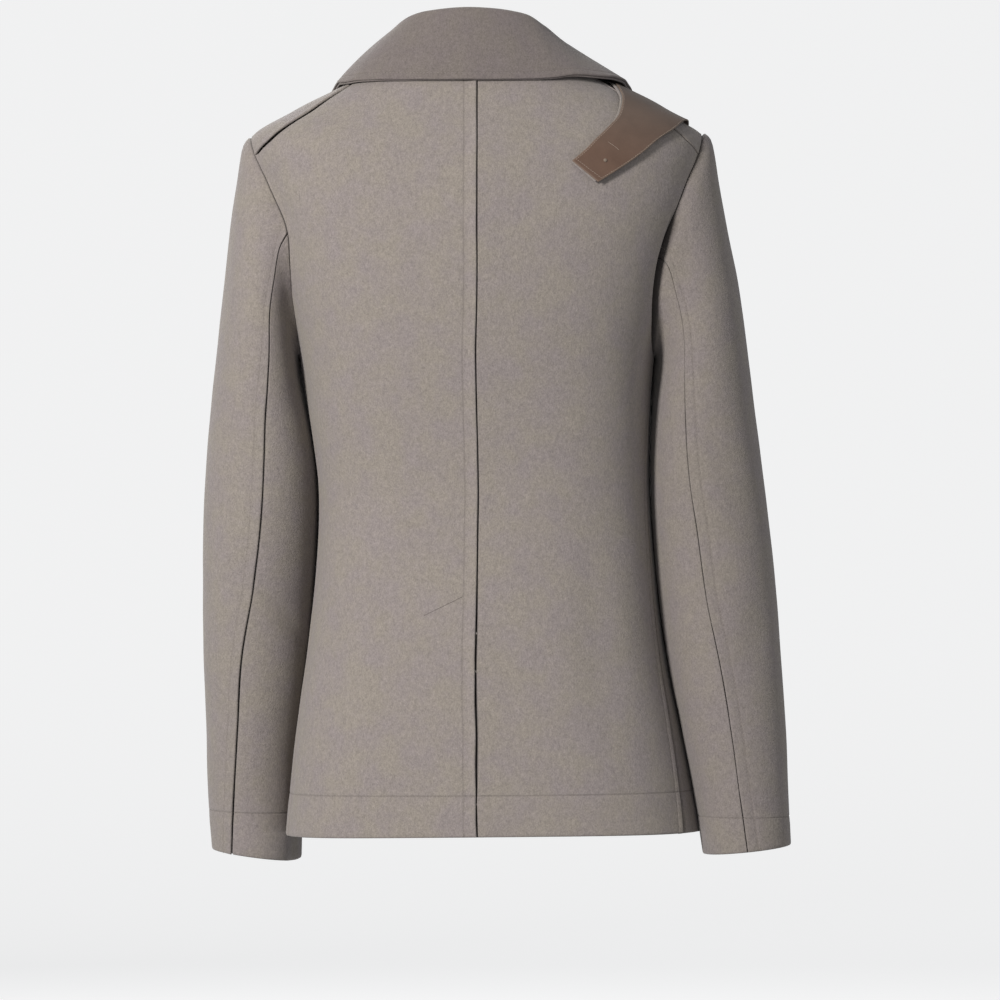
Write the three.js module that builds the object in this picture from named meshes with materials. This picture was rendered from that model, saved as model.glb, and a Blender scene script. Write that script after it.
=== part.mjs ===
// A pea coat of melton wool, worn, with its hollow form and no wearer.
// Millimetres, +Z up. The wearer faces -Y, so the back of the coat is at +Y and
// the wearer's left is +X. The origin is the middle of the neck opening.
import * as THREE from 'three';

// Driving sizes
const wool = 2.6; // melton wall of body and sleeves
const collarCloth = 2; // each of the collar's two layers
const lapelCloth = 3.4; // turned back front and facing, pressed as one
const seamGap = 0.3; // between two sewn edges
const grooveDepth = 0.8; // pressed in by the hem stitching
const hemDepth = 36; // from hem and cuff edges to their stitching
const underarm = -285; // lowest point of the armhole
const shoulderTip = -100; // highest point of the armhole
const armholeBack = 22; // degrees that the armhole reaches behind the side
const armholeFront = 32; // and before it
const neckHeight = -8; // neck seam at the centre back
const neckEnd = -48; // degrees, where the neck seam stops at the front
const overlap = 85; // each front edge past the centre front
const breakPoint = -285; // height where the lapels start to turn
const wrapLift = 4.8; // right front over the left front

// Colours as photographed
const woolColour = 0x8f857c;
const leatherColour = 0x6f5d50;
const buttonColour = 0x4b3f37;

const degree = Math.PI / 180;

// Tables with named columns, read by a smooth curve through their rows
function table(names, rows) {
  return rows.map((row) => Object.fromEntries(names.map((name, i) => [name, row[i] ?? 0])));
}

function follow(rows, along, name, at) {
  const last = rows.length - 1;
  const slope = (i) => {
    const before = rows[Math.max(i - 1, 0)];
    const after = rows[Math.min(i + 1, last)];
    return (after[name] - before[name]) / (after[along] - before[along]);
  };
  if (at <= rows[0][along]) {
    return rows[0][name] + slope(0) * (at - rows[0][along]);
  }
  if (at >= rows[last][along]) {
    return rows[last][name] + slope(last) * (at - rows[last][along]);
  }
  const i = rows.findIndex((row) => row[along] > at) - 1;
  const long = rows[i + 1][along] - rows[i][along];
  const t = (at - rows[i][along]) / long;
  const back = 1 - t;
  const start = rows[i][name] * (1 + 2 * t) * back * back + slope(i) * long * t * back * back;
  const end = rows[i + 1][name] * t * t * (3 - 2 * t) - slope(i + 1) * long * t * t * back;
  return start + end;
}

function ease(share) {
  const t = Math.min(Math.max(share, 0), 1);
  return t * t * (3 - 2 * t);
}

function mix(a, b, share) {
  return a + (b - a) * share;
}

// Body of the coat as rings. Each is named by its height at the centre back, with
// its half width, its depth behind and before, its height at the sides and at the
// centre front, and how far the ring is shifted, turned and tilted by the stance.
const rings = table(
  ['height', 'half', 'back', 'front', 'side', 'low', 'shift', 'turn', 'tilt'],
  [
    [-711, 188, 131, 128, -714, -713, -17, -7, -0.017],
    [-640, 177, 127, 124, -641, -641, -13, -6.2, -0.009],
    [-550, 160.5, 118, 119, -550, -550, -9.5, -5],
    [-470, 151, 107, 118, -470, -470, -8, -4],
    [-405, 147.7, 103, 122, -405, -405, -6.7, -3],
    [-340, 151.7, 108, 130, -340, -340, -2.7, -1.5],
    [-285, 158, 114, 134, -285, -285, 0, -0.5],
    [-230, 171, 118, 128, -226, -228],
    [-175, 185, 118, 118, -173, -180],
    [-130, 197, 112, 104, -132, -143],
    [-100, 201, 104, 92, -94, -120],
    [-72, 166, 92, 80, -68.5, -102],
    [-45, 131, 82, 72, -50.5, -90],
    [-25, 98, 70, 66, -34.5, -81],
    [-8, 70, 55, 60, -18, -73],
  ],
);

// Soft folds that the stance presses into the back
const folds = table(
  ['angle', 'height', 'long', 'wide', 'deep'],
  [
    [128, -545, 80, 9, 3],
    [43, -585, 75, 9, 2.5],
    [29, -165, 38, 6, 2.5],
  ],
);

function body(height, angle) {
  const ring = (name) => follow(rings, 'height', name, height);
  const square = 0.03;
  const c = Math.cos(angle * degree);
  const s = Math.sin(angle * degree);
  let wide = (ring('half') * (c - square * Math.cos(3 * angle * degree))) / (1 - square);
  let deep = (s + square * Math.sin(3 * angle * degree)) / (1 - square);
  deep *= s > 0 ? ring('back') : ring('front');
  const middle = s > 0 ? height : ring('low');
  const z = mix(ring('side'), middle, s * s) + ring('tilt') * wide;
  for (const fold of folds) {
    const across = (angle - fold.angle) / fold.wide;
    const down = (height - fold.height) / fold.long;
    const shrink = 1 - (fold.deep * Math.exp(-across * across - down * down)) / 130;
    wide *= shrink;
    deep *= shrink;
  }
  const turn = ring('turn') * degree;
  const x = ring('shift') + wide * Math.cos(turn) - deep * Math.sin(turn);
  const y = wide * Math.sin(turn) + deep * Math.cos(turn);
  return new THREE.Vector3(x, y, z);
}

function bodyNormal(height, angle) {
  const round = body(height, angle + 0.5).sub(body(height, angle - 0.5));
  const up = body(height + 0.5, angle).sub(body(height - 0.5, angle));
  return round.cross(up).normalize();
}

// Angles of the wearer's right are those of the left, mirrored
function sided(side, angle) {
  return side > 0 ? angle : 180 - angle;
}

// Armhole as a closed curve on the body. turn is 0 at the shoulder tip, 90 at the
// back, 180 under the arm and 270 at the front. Body and sleeve share its points.
const shoulderTurn = 30; // where the shoulder seam meets the armhole
const backTurns = [180, 166, 152, 138, 124, 110, 96, 82, 69, 56, 43, shoulderTurn];
const frontStep = 15;

function armhole(turn) {
  const up = (1 + Math.cos(turn * degree)) / 2;
  const s = Math.sin(turn * degree);
  const reach = (s > 0 ? armholeBack : armholeFront) / 0.88;
  const angle = reach * (s + 0.12 * Math.sin(3 * turn * degree)) + 8 * (1 - up);
  return { height: mix(underarm, shoulderTip, up), angle };
}

// Side and shoulder seams, as angles behind the side
const sideSeam = table(
  ['height', 'left', 'right'],
  [
    [-711, 17, 26],
    [-668, 16.5, 23],
    [-560, 14, 18],
    [-405, 12, 12.5],
    [underarm, armhole(180).angle, armhole(180).angle],
  ],
);
const shoulderSeam = table(
  ['height', 'angle'],
  [
    [armhole(shoulderTurn).height, armhole(shoulderTurn).angle],
    [-101, 27],
    [-82, 30],
    [-55, 29.5],
    [neckHeight, 25],
  ],
);

// Sleeves as rings along the arm, with the highest and outermost point, the lowest
// and innermost point, the middle's place and half depth from front to back, and
// the angle of the back seam. Numbers are for the wearer's left, and mirrored.
const sleeveNames = ['along', 'outX', 'outZ', 'inX', 'inZ', 'y', 'deep', 'seam'];
const leftArm = table(sleeveNames, [
  [0, 199, -96, 158, -285, 0, 57, 82],
  [18, 207.5, -105, 161, -285.5, 0, 58, 88],
  [45, 213.5, -132, 162.5, -289, 0, 59, 97],
  [85, 220.5, -172, 162, -297, -1, 60, 102],
  [135, 226, -220, 160, -311, -3, 61, 104],
  [190, 231.5, -272, 155.5, -332, -6, 61, 101],
  [245, 237.5, -325, 149, -362, -9, 60, 96],
  [300, 243, -383, 145.5, -400, -12, 58, 94.5],
  [355, 246.3, -440, 145.5, -445, -17, 56, 92.5],
  [415, 247, -500, 148.5, -500, -25, 54, 86],
  [475, 246.6, -560, 154, -560, -34, 51, 76],
  [535, 244.7, -620, 160.5, -620, -43, 48, 72],
  [595, 243.5, -680, 164.5, -680, -53, 45, 67],
  [648, 240, -734, 167, -744, -60, 43, 60],
]);
const rightArm = table(sleeveNames, [
  [0, 199, -96, 158, -285, 0, 57, 96],
  [18, 208.5, -102, 161.5, -285.5, 0, 58, 101],
  [45, 215, -132, 163.5, -289, 0, 59, 106],
  [85, 223, -172, 164, -297, 1, 60, 109],
  [135, 233.5, -222, 163, -311, 3, 61, 111],
  [190, 241, -275, 160.5, -332, 6, 61, 112],
  [245, 247.5, -330, 158.5, -362, 9, 60, 112],
  [300, 255, -388, 158, -400, 12, 58, 110.5],
  [355, 261.5, -445, 160.5, -445, 16, 56, 107],
  [415, 267, -503, 165.5, -503, 24, 54, 104],
  [475, 271, -563, 174, -563, 34, 51, 98],
  [535, 274.3, -623, 185, -623, 44, 48, 95.5],
  [595, 276.5, -683, 196.5, -680, 52, 45, 95],
  [648, 278, -722, 204, -730, 57, 43, 93],
]);
const sleeveLong = 648;
const sleeveFade = 120; // over which a sleeve takes the armhole's shape
const frontSeam = 255;

function planeRing(arm, along, turn) {
  const ring = (name) => follow(arm, 'along', name, along);
  const c = Math.cos(turn * degree);
  const x = mix(ring('inX'), ring('outX'), (1 + c) / 2);
  const z = mix(ring('inZ'), ring('outZ'), (1 + c) / 2);
  const y = ring('y') + ring('deep') * Math.sin(turn * degree);
  return new THREE.Vector3(x, y, z);
}

function sleeve(side, along, turn) {
  const arm = side > 0 ? leftArm : rightArm;
  const point = planeRing(arm, along, turn);
  point.x *= side;
  const fade = Math.max(1 - along / sleeveFade, 0) ** 2;
  if (fade > 0) {
    const hole = armhole(turn);
    const from = planeRing(arm, 0, turn);
    from.x *= side;
    point.addScaledVector(body(hole.height, sided(side, hole.angle)).sub(from), fade);
  }
  return point;
}

function sleeveNormal(side, along, turn) {
  const round = sleeve(side, along, turn + 0.5).sub(sleeve(side, along, turn - 0.5));
  const down = sleeve(side, along + 0.5, turn).sub(sleeve(side, along, turn));
  return round.cross(down).multiplyScalar(-side).normalize();
}

// Body and sleeve walls meet at the armhole on one slanted face between them
function armholeNormal(side, turn) {
  const hole = armhole(turn);
  const flat = bodyNormal(hole.height, sided(side, hole.angle));
  const between = flat.clone().add(sleeveNormal(side, 4, turn)).normalize();
  return between.divideScalar(Math.max(between.dot(flat), 0.6));
}

// Closed wall between two grids of points, each a list of rows
function wall(outer, inner) {
  const rows = outer.length;
  const columns = outer[0].length;
  const at = (face, row, column) => (face * rows + row) * columns + column;
  const faces = [];
  const quad = (a, b, c, d) => faces.push(a, b, c, a, c, d);
  for (let row = 0; row < rows - 1; row += 1) {
    for (let column = 0; column < columns - 1; column += 1) {
      const next = column + 1;
      const above = row + 1;
      quad(at(0, row, column), at(0, row, next), at(0, above, next), at(0, above, column));
      quad(at(1, row, column), at(1, above, column), at(1, above, next), at(1, row, next));
    }
  }
  const top = rows - 1;
  for (let column = 0; column < columns - 1; column += 1) {
    const next = column + 1;
    quad(at(1, 0, column), at(1, 0, next), at(0, 0, next), at(0, 0, column));
    quad(at(0, top, column), at(0, top, next), at(1, top, next), at(1, top, column));
  }
  const end = columns - 1;
  for (let row = 0; row < rows - 1; row += 1) {
    const above = row + 1;
    quad(at(0, row, 0), at(0, above, 0), at(1, above, 0), at(1, row, 0));
    quad(at(1, row, end), at(1, above, end), at(0, above, end), at(0, row, end));
  }
  const points = [...outer.flat(), ...inner.flat()];
  let volume = 0;
  for (let i = 0; i < faces.length; i += 3) {
    const [a, b, c] = [points[faces[i]], points[faces[i + 1]], points[faces[i + 2]]];
    volume += a.dot(new THREE.Vector3().crossVectors(b, c));
  }
  if (volume < 0) {
    faces.reverse();
  }
  const geometry = new THREE.BufferGeometry().setFromPoints(points);
  geometry.setIndex(faces);
  geometry.computeVertexNormals();
  return geometry;
}

// Wall from a grid of middle points and one of normals, both by row and column
function thicken(middles, normals, thick, groove = () => 0) {
  const outer = middles.map((row, i) =>
    row.map((point, j) => point.clone().addScaledVector(normals[i][j], thick / 2 - groove(i))),
  );
  const inner = middles.map((row, i) =>
    row.map((point, j) => point.clone().addScaledVector(normals[i][j], -thick / 2)),
  );
  return wall(outer, inner);
}

// Seam edges draw back by half the gap, towards the column beside them
function drawBack(row) {
  const last = row.length - 1;
  const first = row[1].clone().sub(row[0]).setLength(seamGap / 2);
  const other = row[last - 1].clone().sub(row[last]).setLength(seamGap / 2);
  row[0].add(first);
  row[last].add(other);
  return row;
}

const coat = new THREE.Group();

function add(name, geometry, colour = woolColour, roughness = 0.95) {
  const material = new THREE.MeshStandardMaterial({ color: colour, roughness, metalness: 0 });
  const mesh = new THREE.Mesh(geometry, material);
  mesh.name = name;
  coat.add(mesh);
  return mesh;
}

// Rows shared by backs and fronts: hem to underarm, with a groove at the stitching
const hem = rings[0].height;
const stitchRow = hem + hemDepth;
const lowRows = [hem, hem + 18, stitchRow - 2, stitchRow, stitchRow + 2, -645, -605, -565];
lowRows.push(-525, -485, -445, -405, -365, -325, underarm);

function sideEdge(side, height) {
  const name = side > 0 ? 'left' : 'right';
  return { height, angle: follow(sideSeam, 'height', name, height) };
}

function shoulderEdge(share) {
  const height = mix(armhole(shoulderTurn).height, neckHeight, share);
  return { height, angle: follow(shoulderSeam, 'height', 'angle', height) };
}

// Panel of the body. Each cell holds its place on the body, its lift from it, and
// its armhole angle where it lies on the armhole.
function bodyPanel(side, cells, lift = () => 0) {
  const normals = [];
  const middles = cells.map((row, i) => {
    normals.push([]);
    const points = row.map((cell) => {
      const point = body(cell.height, sided(side, cell.angle));
      const normal = bodyNormal(cell.height, sided(side, cell.angle));
      normals[i].push(cell.turn === undefined ? normal : armholeNormal(side, cell.turn));
      return point.addScaledVector(normal, lift(point));
    });
    return drawBack(points);
  });
  const groove = (row) => (lowRows[row] === stitchRow ? grooveDepth : 0);
  return thicken(middles, normals, wool, groove);
}

// Backs, meeting at the centre back
const backColumns = 7;

// Columns of a front, as shares of its width, closer where the fronts overlap.
// The shoulder seam has the same points, so both of its sides match.
const frontShares = [0, 0.12, 0.24, 0.36, 0.48, 0.6, 0.68, 0.76, 0.84, 0.92, 1];

function backPanel(side) {
  const edge = lowRows.map((height) => sideEdge(side, height));
  edge.at(-1).turn = 180;
  for (const turn of backTurns.slice(1)) {
    edge.push({ ...armhole(turn), turn });
  }
  for (const share of frontShares.slice(1)) {
    edge.push(shoulderEdge(share));
  }
  const cells = edge.map((start) => {
    const row = [start];
    for (let i = 1; i <= backColumns; i += 1) {
      row.push({ height: start.height, angle: mix(start.angle, 90, i / backColumns) });
    }
    return row;
  });
  return bodyPanel(side, cells);
}

// Strip of the right back that lies behind the left back's edge at the vent
function ventUnderlap() {
  const top = -500;
  const wide = 14; // degrees
  const rows = [hem + 1, -680, -640, -600, -560, -530, top];
  const middles = [];
  const normals = [];
  for (const height of rows) {
    middles.push([]);
    normals.push([]);
    for (let i = 0; i <= 5; i += 1) {
      const angle = mix(93, 93 - 3 - wide, i / 5);
      const normal = bodyNormal(height, angle);
      middles.at(-1).push(body(height, angle).addScaledVector(normal, -wool - 0.8));
      normals.at(-1).push(normal);
    }
  }
  return thicken(middles, normals, wool);
}

add('back_left', backPanel(1));
add('back_right', backPanel(-1));
add('vent_underlap', ventUnderlap());

// Fronts. A place on the front is found from its x and z by steps on the body.
function onFront(x, z) {
  let height = z;
  const half = follow(rings, 'height', 'half', height);
  let angle = -90 + Math.asin(Math.min(Math.max(x / half, -0.95), 0.95)) / degree;
  for (let i = 0; i < 12; i += 1) {
    const here = body(height, angle);
    const round = body(height, angle + 0.1).sub(here).multiplyScalar(10);
    const up = body(height + 0.1, angle).sub(here).multiplyScalar(10);
    const across = x - here.x;
    const rise = z - here.z;
    const scale = round.x * up.z - round.z * up.x;
    angle += (across * up.z - rise * up.x) / scale;
    height += (round.x * rise - round.z * across) / scale;
  }
  return { height, angle };
}

const neckPoint = body(neckHeight, neckEnd);

// Point of the roll line, share 0 at the break and 1 at the neck, on the left front
function rollLine(share) {
  return { x: mix(-overlap, neckPoint.x, share), z: mix(breakPoint, neckPoint.z, share) };
}

// The right front rises where it wraps over the left front
function wrap(side) {
  return (point) => {
    if (side > 0) {
      return 0;
    }
    return wrapLift * ease((point.x + 145) / 35) * ease((-92 - point.z) / 40);
  };
}

function frontAngle(side, height) {
  const half = follow(rings, 'height', 'half', height);
  let angle = -90 - Math.asin(overlap / half) / degree;
  for (let i = 0; i < 10; i += 1) {
    const here = body(height, sided(side, angle)).x * side;
    const next = body(height, sided(side, angle + 0.1)).x * side;
    angle += ((-overlap - here) / (next - here)) * 0.1;
  }
  return angle;
}

const rollRows = 9; // rows of the front that end on the roll line
const neckRows = 5; // rows that end on the neck seam

function frontPanel(side) {
  const rows = lowRows.map((height) => {
    const end = { height, angle: frontAngle(side, height) };
    return [sideEdge(side, height), end];
  });
  rows.at(-1)[0].turn = 180;
  for (let i = 1; i <= rollRows; i += 1) {
    const turn = 180 + frontStep * i;
    const place = rollLine(i / rollRows);
    const end = onFront(side * place.x, place.z);
    end.angle = sided(side, end.angle);
    if (end.angle > 180) {
      end.angle -= 360;
    }
    rows.push([{ ...armhole(turn), turn }, end]);
  }
  for (let i = 1; i <= neckRows; i += 1) {
    const turn = 180 + frontStep * (rollRows + i);
    const angle = mix(neckEnd, shoulderEdge(1).angle, i / neckRows);
    rows.push([{ ...armhole(turn), turn }, { height: neckHeight, angle }]);
  }
  const cells = rows.map(([start, end], row) => {
    const bend = Math.max((row - lowRows.length - 8) / 5, 0) ** 2;
    const line = [start];
    for (const share of frontShares.slice(1)) {
      const seam = shoulderEdge(share);
      const straight = mix(shoulderEdge(0).angle, shoulderEdge(1).angle, share);
      line.push({
        height: mix(start.height, end.height, share),
        angle: mix(start.angle, end.angle, share) + bend * (seam.angle - straight),
      });
    }
    return line;
  });
  return bodyPanel(side, cells, wrap(side));
}

add('front_left', frontPanel(1));
add('front_right', frontPanel(-1));


// Lapels, the fronts turned back along the roll line. Places are x and z on the
// wearer's left, mirrored for the right. The left one stops where the right front
// covers it.
const rollRadius = 4.4;
const lapelLift = 4.8; // of the lapel's middle over the front's, at its outer edge
const peak = { x: 142, z: -122 };
const gorge = { x: 92, z: -80 };
const lapelStart = {
  left: { share: 0.68, x: 42, z: -193, rows: 7 },
  right: { share: 0.02, x: -78, z: -280, rows: 12 },
};

function lapelPanel(side) {
  const start = side > 0 ? lapelStart.left : lapelStart.right;
  const rise = wrap(side);
  const middles = [];
  const normals = [];
  const place = (x, z) => {
    const { height, angle } = onFront(side * x, z);
    const normal = bodyNormal(height, angle);
    const point = body(height, angle);
    return { point: point.addScaledVector(normal, rise(point)), normal };
  };
  const addRow = (roll, edge) => {
    const foot = place(roll.x, roll.z);
    const beside = place(mix(roll.x, edge.x, 0.02), mix(roll.z, edge.z, 0.02));
    const out = foot.point.clone().sub(beside.point).normalize();
    foot.point.addScaledVector(out, 2 * seamGap);
    const points = [];
    const facing = [];
    for (let turn = 0; turn <= 180; turn += 36) {
      const c = Math.cos(turn * degree);
      const s = Math.sin(turn * degree);
      const point = foot.point.clone().addScaledVector(foot.normal, rollRadius * (1 - c));
      points.push(point.addScaledVector(out, rollRadius * s));
      facing.push(foot.normal.clone().multiplyScalar(-c).addScaledVector(out, s));
    }
    for (let i = 1; i <= 7; i += 1) {
      const share = i / 7;
      const { point, normal } = place(mix(roll.x, edge.x, share), mix(roll.z, edge.z, share));
      const lift = mix(2 * rollRadius, lapelLift, ease(share * 1.4));
      points.push(point.addScaledVector(normal, lift));
      facing.push(normal);
    }
    middles.push(points);
    normals.push(facing);
  };
  const neckRowsOfLapel = 4;
  const total = start.rows + neckRowsOfLapel;
  for (let i = 0; i <= total; i += 1) {
    const roll = rollLine(mix(start.share, 0.985, i / total));
    const up = Math.min(i / start.rows, 1);
    const back = Math.max((i - start.rows) / neckRowsOfLapel, 0);
    const bow = 5 * Math.sin(Math.PI * up);
    addRow(roll, {
      x: mix(mix(start.x, peak.x, up), gorge.x, back) + bow * 0.6,
      z: mix(mix(start.z, peak.z, up), gorge.z, back) - bow * 0.8,
    });
  }
  return thicken(middles, normals, lapelCloth);
}

add('lapel_left', lapelPanel(1));
add('lapel_right', lapelPanel(-1));

// Sleeves, each of a top sleeve and an under sleeve, with a groove at the cuff
const cuffStitch = sleeveLong - hemDepth;
const sleeveRows = [0, 18, 45, 85, 135, 190, 245, 300, 355, 415, 475, 535, 580];
sleeveRows.push(cuffStitch - 2, cuffStitch, cuffStitch + 2, sleeveLong);

// Armhole points of a top sleeve from the back seam over the shoulder, and of an
// under sleeve from the back seam under the arm
function topTurns(seam) {
  const turns = backTurns.filter((turn) => turn <= seam);
  for (let turn = shoulderTurn - frontStep; turn >= frontSeam - 360; turn -= frontStep) {
    turns.push(turn);
  }
  return turns;
}

function underTurns(seam) {
  const turns = backTurns.filter((turn) => turn >= seam).reverse();
  for (let turn = 180 + frontStep; turn <= frontSeam; turn += frontStep) {
    turns.push(turn);
  }
  return turns;
}

function sleevePanel(side, isTop) {
  const arm = side > 0 ? leftArm : rightArm;
  const end = isTop ? frontSeam - 360 : frontSeam;
  const first = arm[0].seam;
  const turns = isTop ? topTurns(first) : underTurns(first);
  const normals = [];
  const middles = sleeveRows.map((along) => {
    const seam = follow(arm, 'along', 'seam', along);
    const points = [];
    const facing = [];
    for (const start of turns) {
      const turn = mix(seam, end, (start - first) / (end - first));
      const point = sleeve(side, along, turn);
      if (along === 0) {
        point.add(sleeve(side, sleeveRows[1], turn).sub(point).setLength(seamGap));
      }
      points.push(point);
      facing.push(along === 0 ? armholeNormal(side, turn) : sleeveNormal(side, along, turn));
    }
    normals.push(facing);
    return drawBack(points);
  });
  const groove = (row) => (sleeveRows[row] === cuffStitch ? grooveDepth : 0);
  return thicken(middles, normals, wool, groove);
}

for (const [side, name] of [[1, 'left'], [-1, 'right']]) {
  add(`top_sleeve_${name}`, sleevePanel(side, true));
  add(`under_sleeve_${name}`, sleevePanel(side, false));
}

// Collar of two layers: a stand on the neck seam, a rolled fold and a wide leaf.
// Each row gives the fold's top, and where the leaf's edge lies on the body.
const foldRadius = 3.9;
const collarNames = ['angle', 'top', 'leafAngle', 'leafHeight', 'lift', 'belly'];
const collarLeft = table(collarNames, [
  [-48, -40, -46, -86, 6, 1],
  [-30, -16, -30, -61, 5, 1],
  [0, 0.5, -3, -41, 4.6, 1.5],
  [25, 5.5, 27, -43, 4.6, 2],
  [45, 13.5, 51, -45, 4.6, 2],
  [60, 17, 64, -46, 4.6, 2],
  [90, 19.5, 90, -47, 4.6, 2],
  [120, 14.5, 116, -46, 5, 1.5],
]);
const collarRight = table(collarNames, [
  [-48, -40, -46, -86, 7, 0],
  [-30, -22, -30, -64, 9.2, 0],
  [0, -7.5, -3, -46, 9.2, 0],
  [25, -4, 28, -44, 9.5, 0],
  [45, 6, 52, -43, 8, 0.5],
  [60, 14.5, 64, -45, 5, 1.5],
  [90, 19.5, 90, -47, 4.6, 2],
  [120, 17, 116, -46, 4.6, 2],
]);

function collarLine(angle) {
  const side = angle > 90 ? -1 : 1;
  const rows = side > 0 ? collarLeft : collarRight;
  const shape = (name) => follow(rows, 'angle', name, sided(side, angle));
  const foot = body(neckHeight, angle);
  foot.z += wool / 2 + 2 * seamGap;
  const leafAngle = sided(side, shape('leafAngle'));
  const edge = body(shape('leafHeight'), leafAngle);
  edge.addScaledVector(bodyNormal(shape('leafHeight'), leafAngle), shape('lift'));
  const out = edge.clone().sub(foot).setZ(0).normalize();
  const up = new THREE.Vector3(0, 0, 1);
  const centre = foot.clone().addScaledVector(out, foldRadius + 2);
  centre.z = shape('top') - foldRadius;
  const reach = edge.clone().sub(centre);
  const far = Math.hypot(reach.dot(out), reach.z);
  const last = Math.atan2(reach.z, reach.dot(out)) + Math.acos(foldRadius / far);
  const points = [];
  const normals = [];
  const arc = (turn) => out.clone().multiplyScalar(Math.cos(turn)).addScaledVector(up, Math.sin(turn));
  const start = centre.clone().addScaledVector(arc(Math.PI), foldRadius);
  for (const share of [0, 0.5]) {
    points.push(foot.clone().lerp(start, share));
    normals.push(arc(Math.PI));
  }
  for (let i = 0; i <= 5; i += 1) {
    const turn = mix(Math.PI, last, i / 5);
    points.push(centre.clone().addScaledVector(arc(turn), foldRadius));
    normals.push(arc(turn));
  }
  const top = points.at(-1);
  for (let i = 1; i <= 5; i += 1) {
    const belly = shape('belly') * Math.sin((Math.PI * i) / 5);
    points.push(top.clone().lerp(edge, i / 5).addScaledVector(arc(last), belly));
    normals.push(arc(last));
  }
  return { points, normals };
}

function collarLayer(face) {
  const lines = [];
  const shoulder = shoulderEdge(1).angle;
  const angles = [];
  for (let i = 0; i < neckRows; i += 1) {
    angles.push(mix(neckEnd, shoulder, i / neckRows));
  }
  for (let i = 0; i < backColumns; i += 1) {
    angles.push(mix(shoulder, 90, i / backColumns));
  }
  const whole = [...angles, 90, ...angles.map((angle) => 180 - angle).reverse()];
  for (const angle of whole) {
    lines.push(collarLine(angle));
  }
  const offset = (face * (collarCloth + seamGap)) / 2;
  const middles = lines.map(({ points, normals }) =>
    points.map((point, i) => point.clone().addScaledVector(normals[i], offset)),
  );
  return thicken(middles, lines.map((line) => line.normals), collarCloth);
}

add('upper_collar', collarLayer(1));
add('under_collar', collarLayer(-1));

// Throat tab of wool faced with leather. It is held under the collar on the right
// front, and is thrown over the shoulder so that its tip lies on the back. Each
// row crosses it: its inner and outer edges on the body, and its lift from there.
const tabWool = 2;
const tabLeather = 1.3;
const tabRows = table(
  ['row', 'innerHeight', 'innerAngle', 'outerHeight', 'outerAngle', 'lift'],
  [
    [0, -119, 112, -137, 119.5, 7],
    [1, -110, 115, -125, 125, 6.6],
    [2, -100, 118.5, -112, 131.5, 6],
    [3, -90, 124, -102, 138, 5],
    [4, -80, 131, -95, 148, 4.2],
    [5, -64, 141, -90, 158.5, 3.6],
    [6, -50, 151, -88, 170, 3.2],
    [7, -39, 166, -88, 183, 3.2],
    [8, -39, 183, -92, 196, 3.2],
    [9, -47, 198, -98, 207, 3.2],
    [10, -57, 208, -98, 214, 3.2],
  ],
);

function tabLayer(thick, raise, inset) {
  const columns = 5;
  const normals = [];
  const middles = [];
  for (let at = inset * 4; at <= 10; at += 0.5) {
    const row = (name) => follow(tabRows, 'row', name, at);
    const points = [];
    const facing = [];
    for (let i = 0; i <= columns; i += 1) {
      const share = mix(inset, 1 - inset, i / columns);
      const height = mix(row('innerHeight'), row('outerHeight'), share);
      const angle = mix(row('innerAngle'), row('outerAngle'), share);
      const normal = bodyNormal(height, angle);
      points.push(body(height, angle).addScaledVector(normal, row('lift') + raise));
      facing.push(normal);
    }
    normals.push(facing);
    middles.push(points);
  }
  return thicken(middles, normals, thick);
}

add('tab_wool', tabLayer(tabWool, 0, 0));
const leatherRaise = (tabWool + tabLeather) / 2 + seamGap;
add('tab_leather', tabLayer(tabLeather, leatherRaise, 0.02), leatherColour, 0.6);

// Buttons in two columns on the right front, turned on their own axis
const buttonRadius = 14;
const buttonThick = 4;
const buttonSide = 62; // each column from the centre front
const buttonHeights = [-345, -450, -555];

function buttonSolid() {
  const half = buttonThick / 2;
  const profile = [
    [0, -half],
    [buttonRadius - 2.5, -half],
    [buttonRadius, -half + 1.6],
    [buttonRadius, half - 0.7],
    [buttonRadius - 1.2, half],
    [buttonRadius - 4, half - 0.9],
    [0, half - 1.2],
  ];
  const points = profile.map(([radius, height]) => new THREE.Vector2(radius, height));
  return new THREE.LatheGeometry(points, 20);
}

let number = 0;
for (const height of buttonHeights) {
  for (const x of [-buttonSide, buttonSide]) {
    number += 1;
    const place = onFront(x, height);
    const normal = bodyNormal(place.height, place.angle);
    const seat = body(place.height, place.angle);
    const lift = wrap(-1)(seat) + wool / 2 + seamGap + buttonThick / 2;
    const button = add(`button_${number}`, buttonSolid(), buttonColour, 0.45);
    button.position.copy(seat.addScaledVector(normal, lift));
    button.quaternion.setFromUnitVectors(new THREE.Vector3(0, 1, 0), normal);
  }
}

export default coat;
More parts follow.
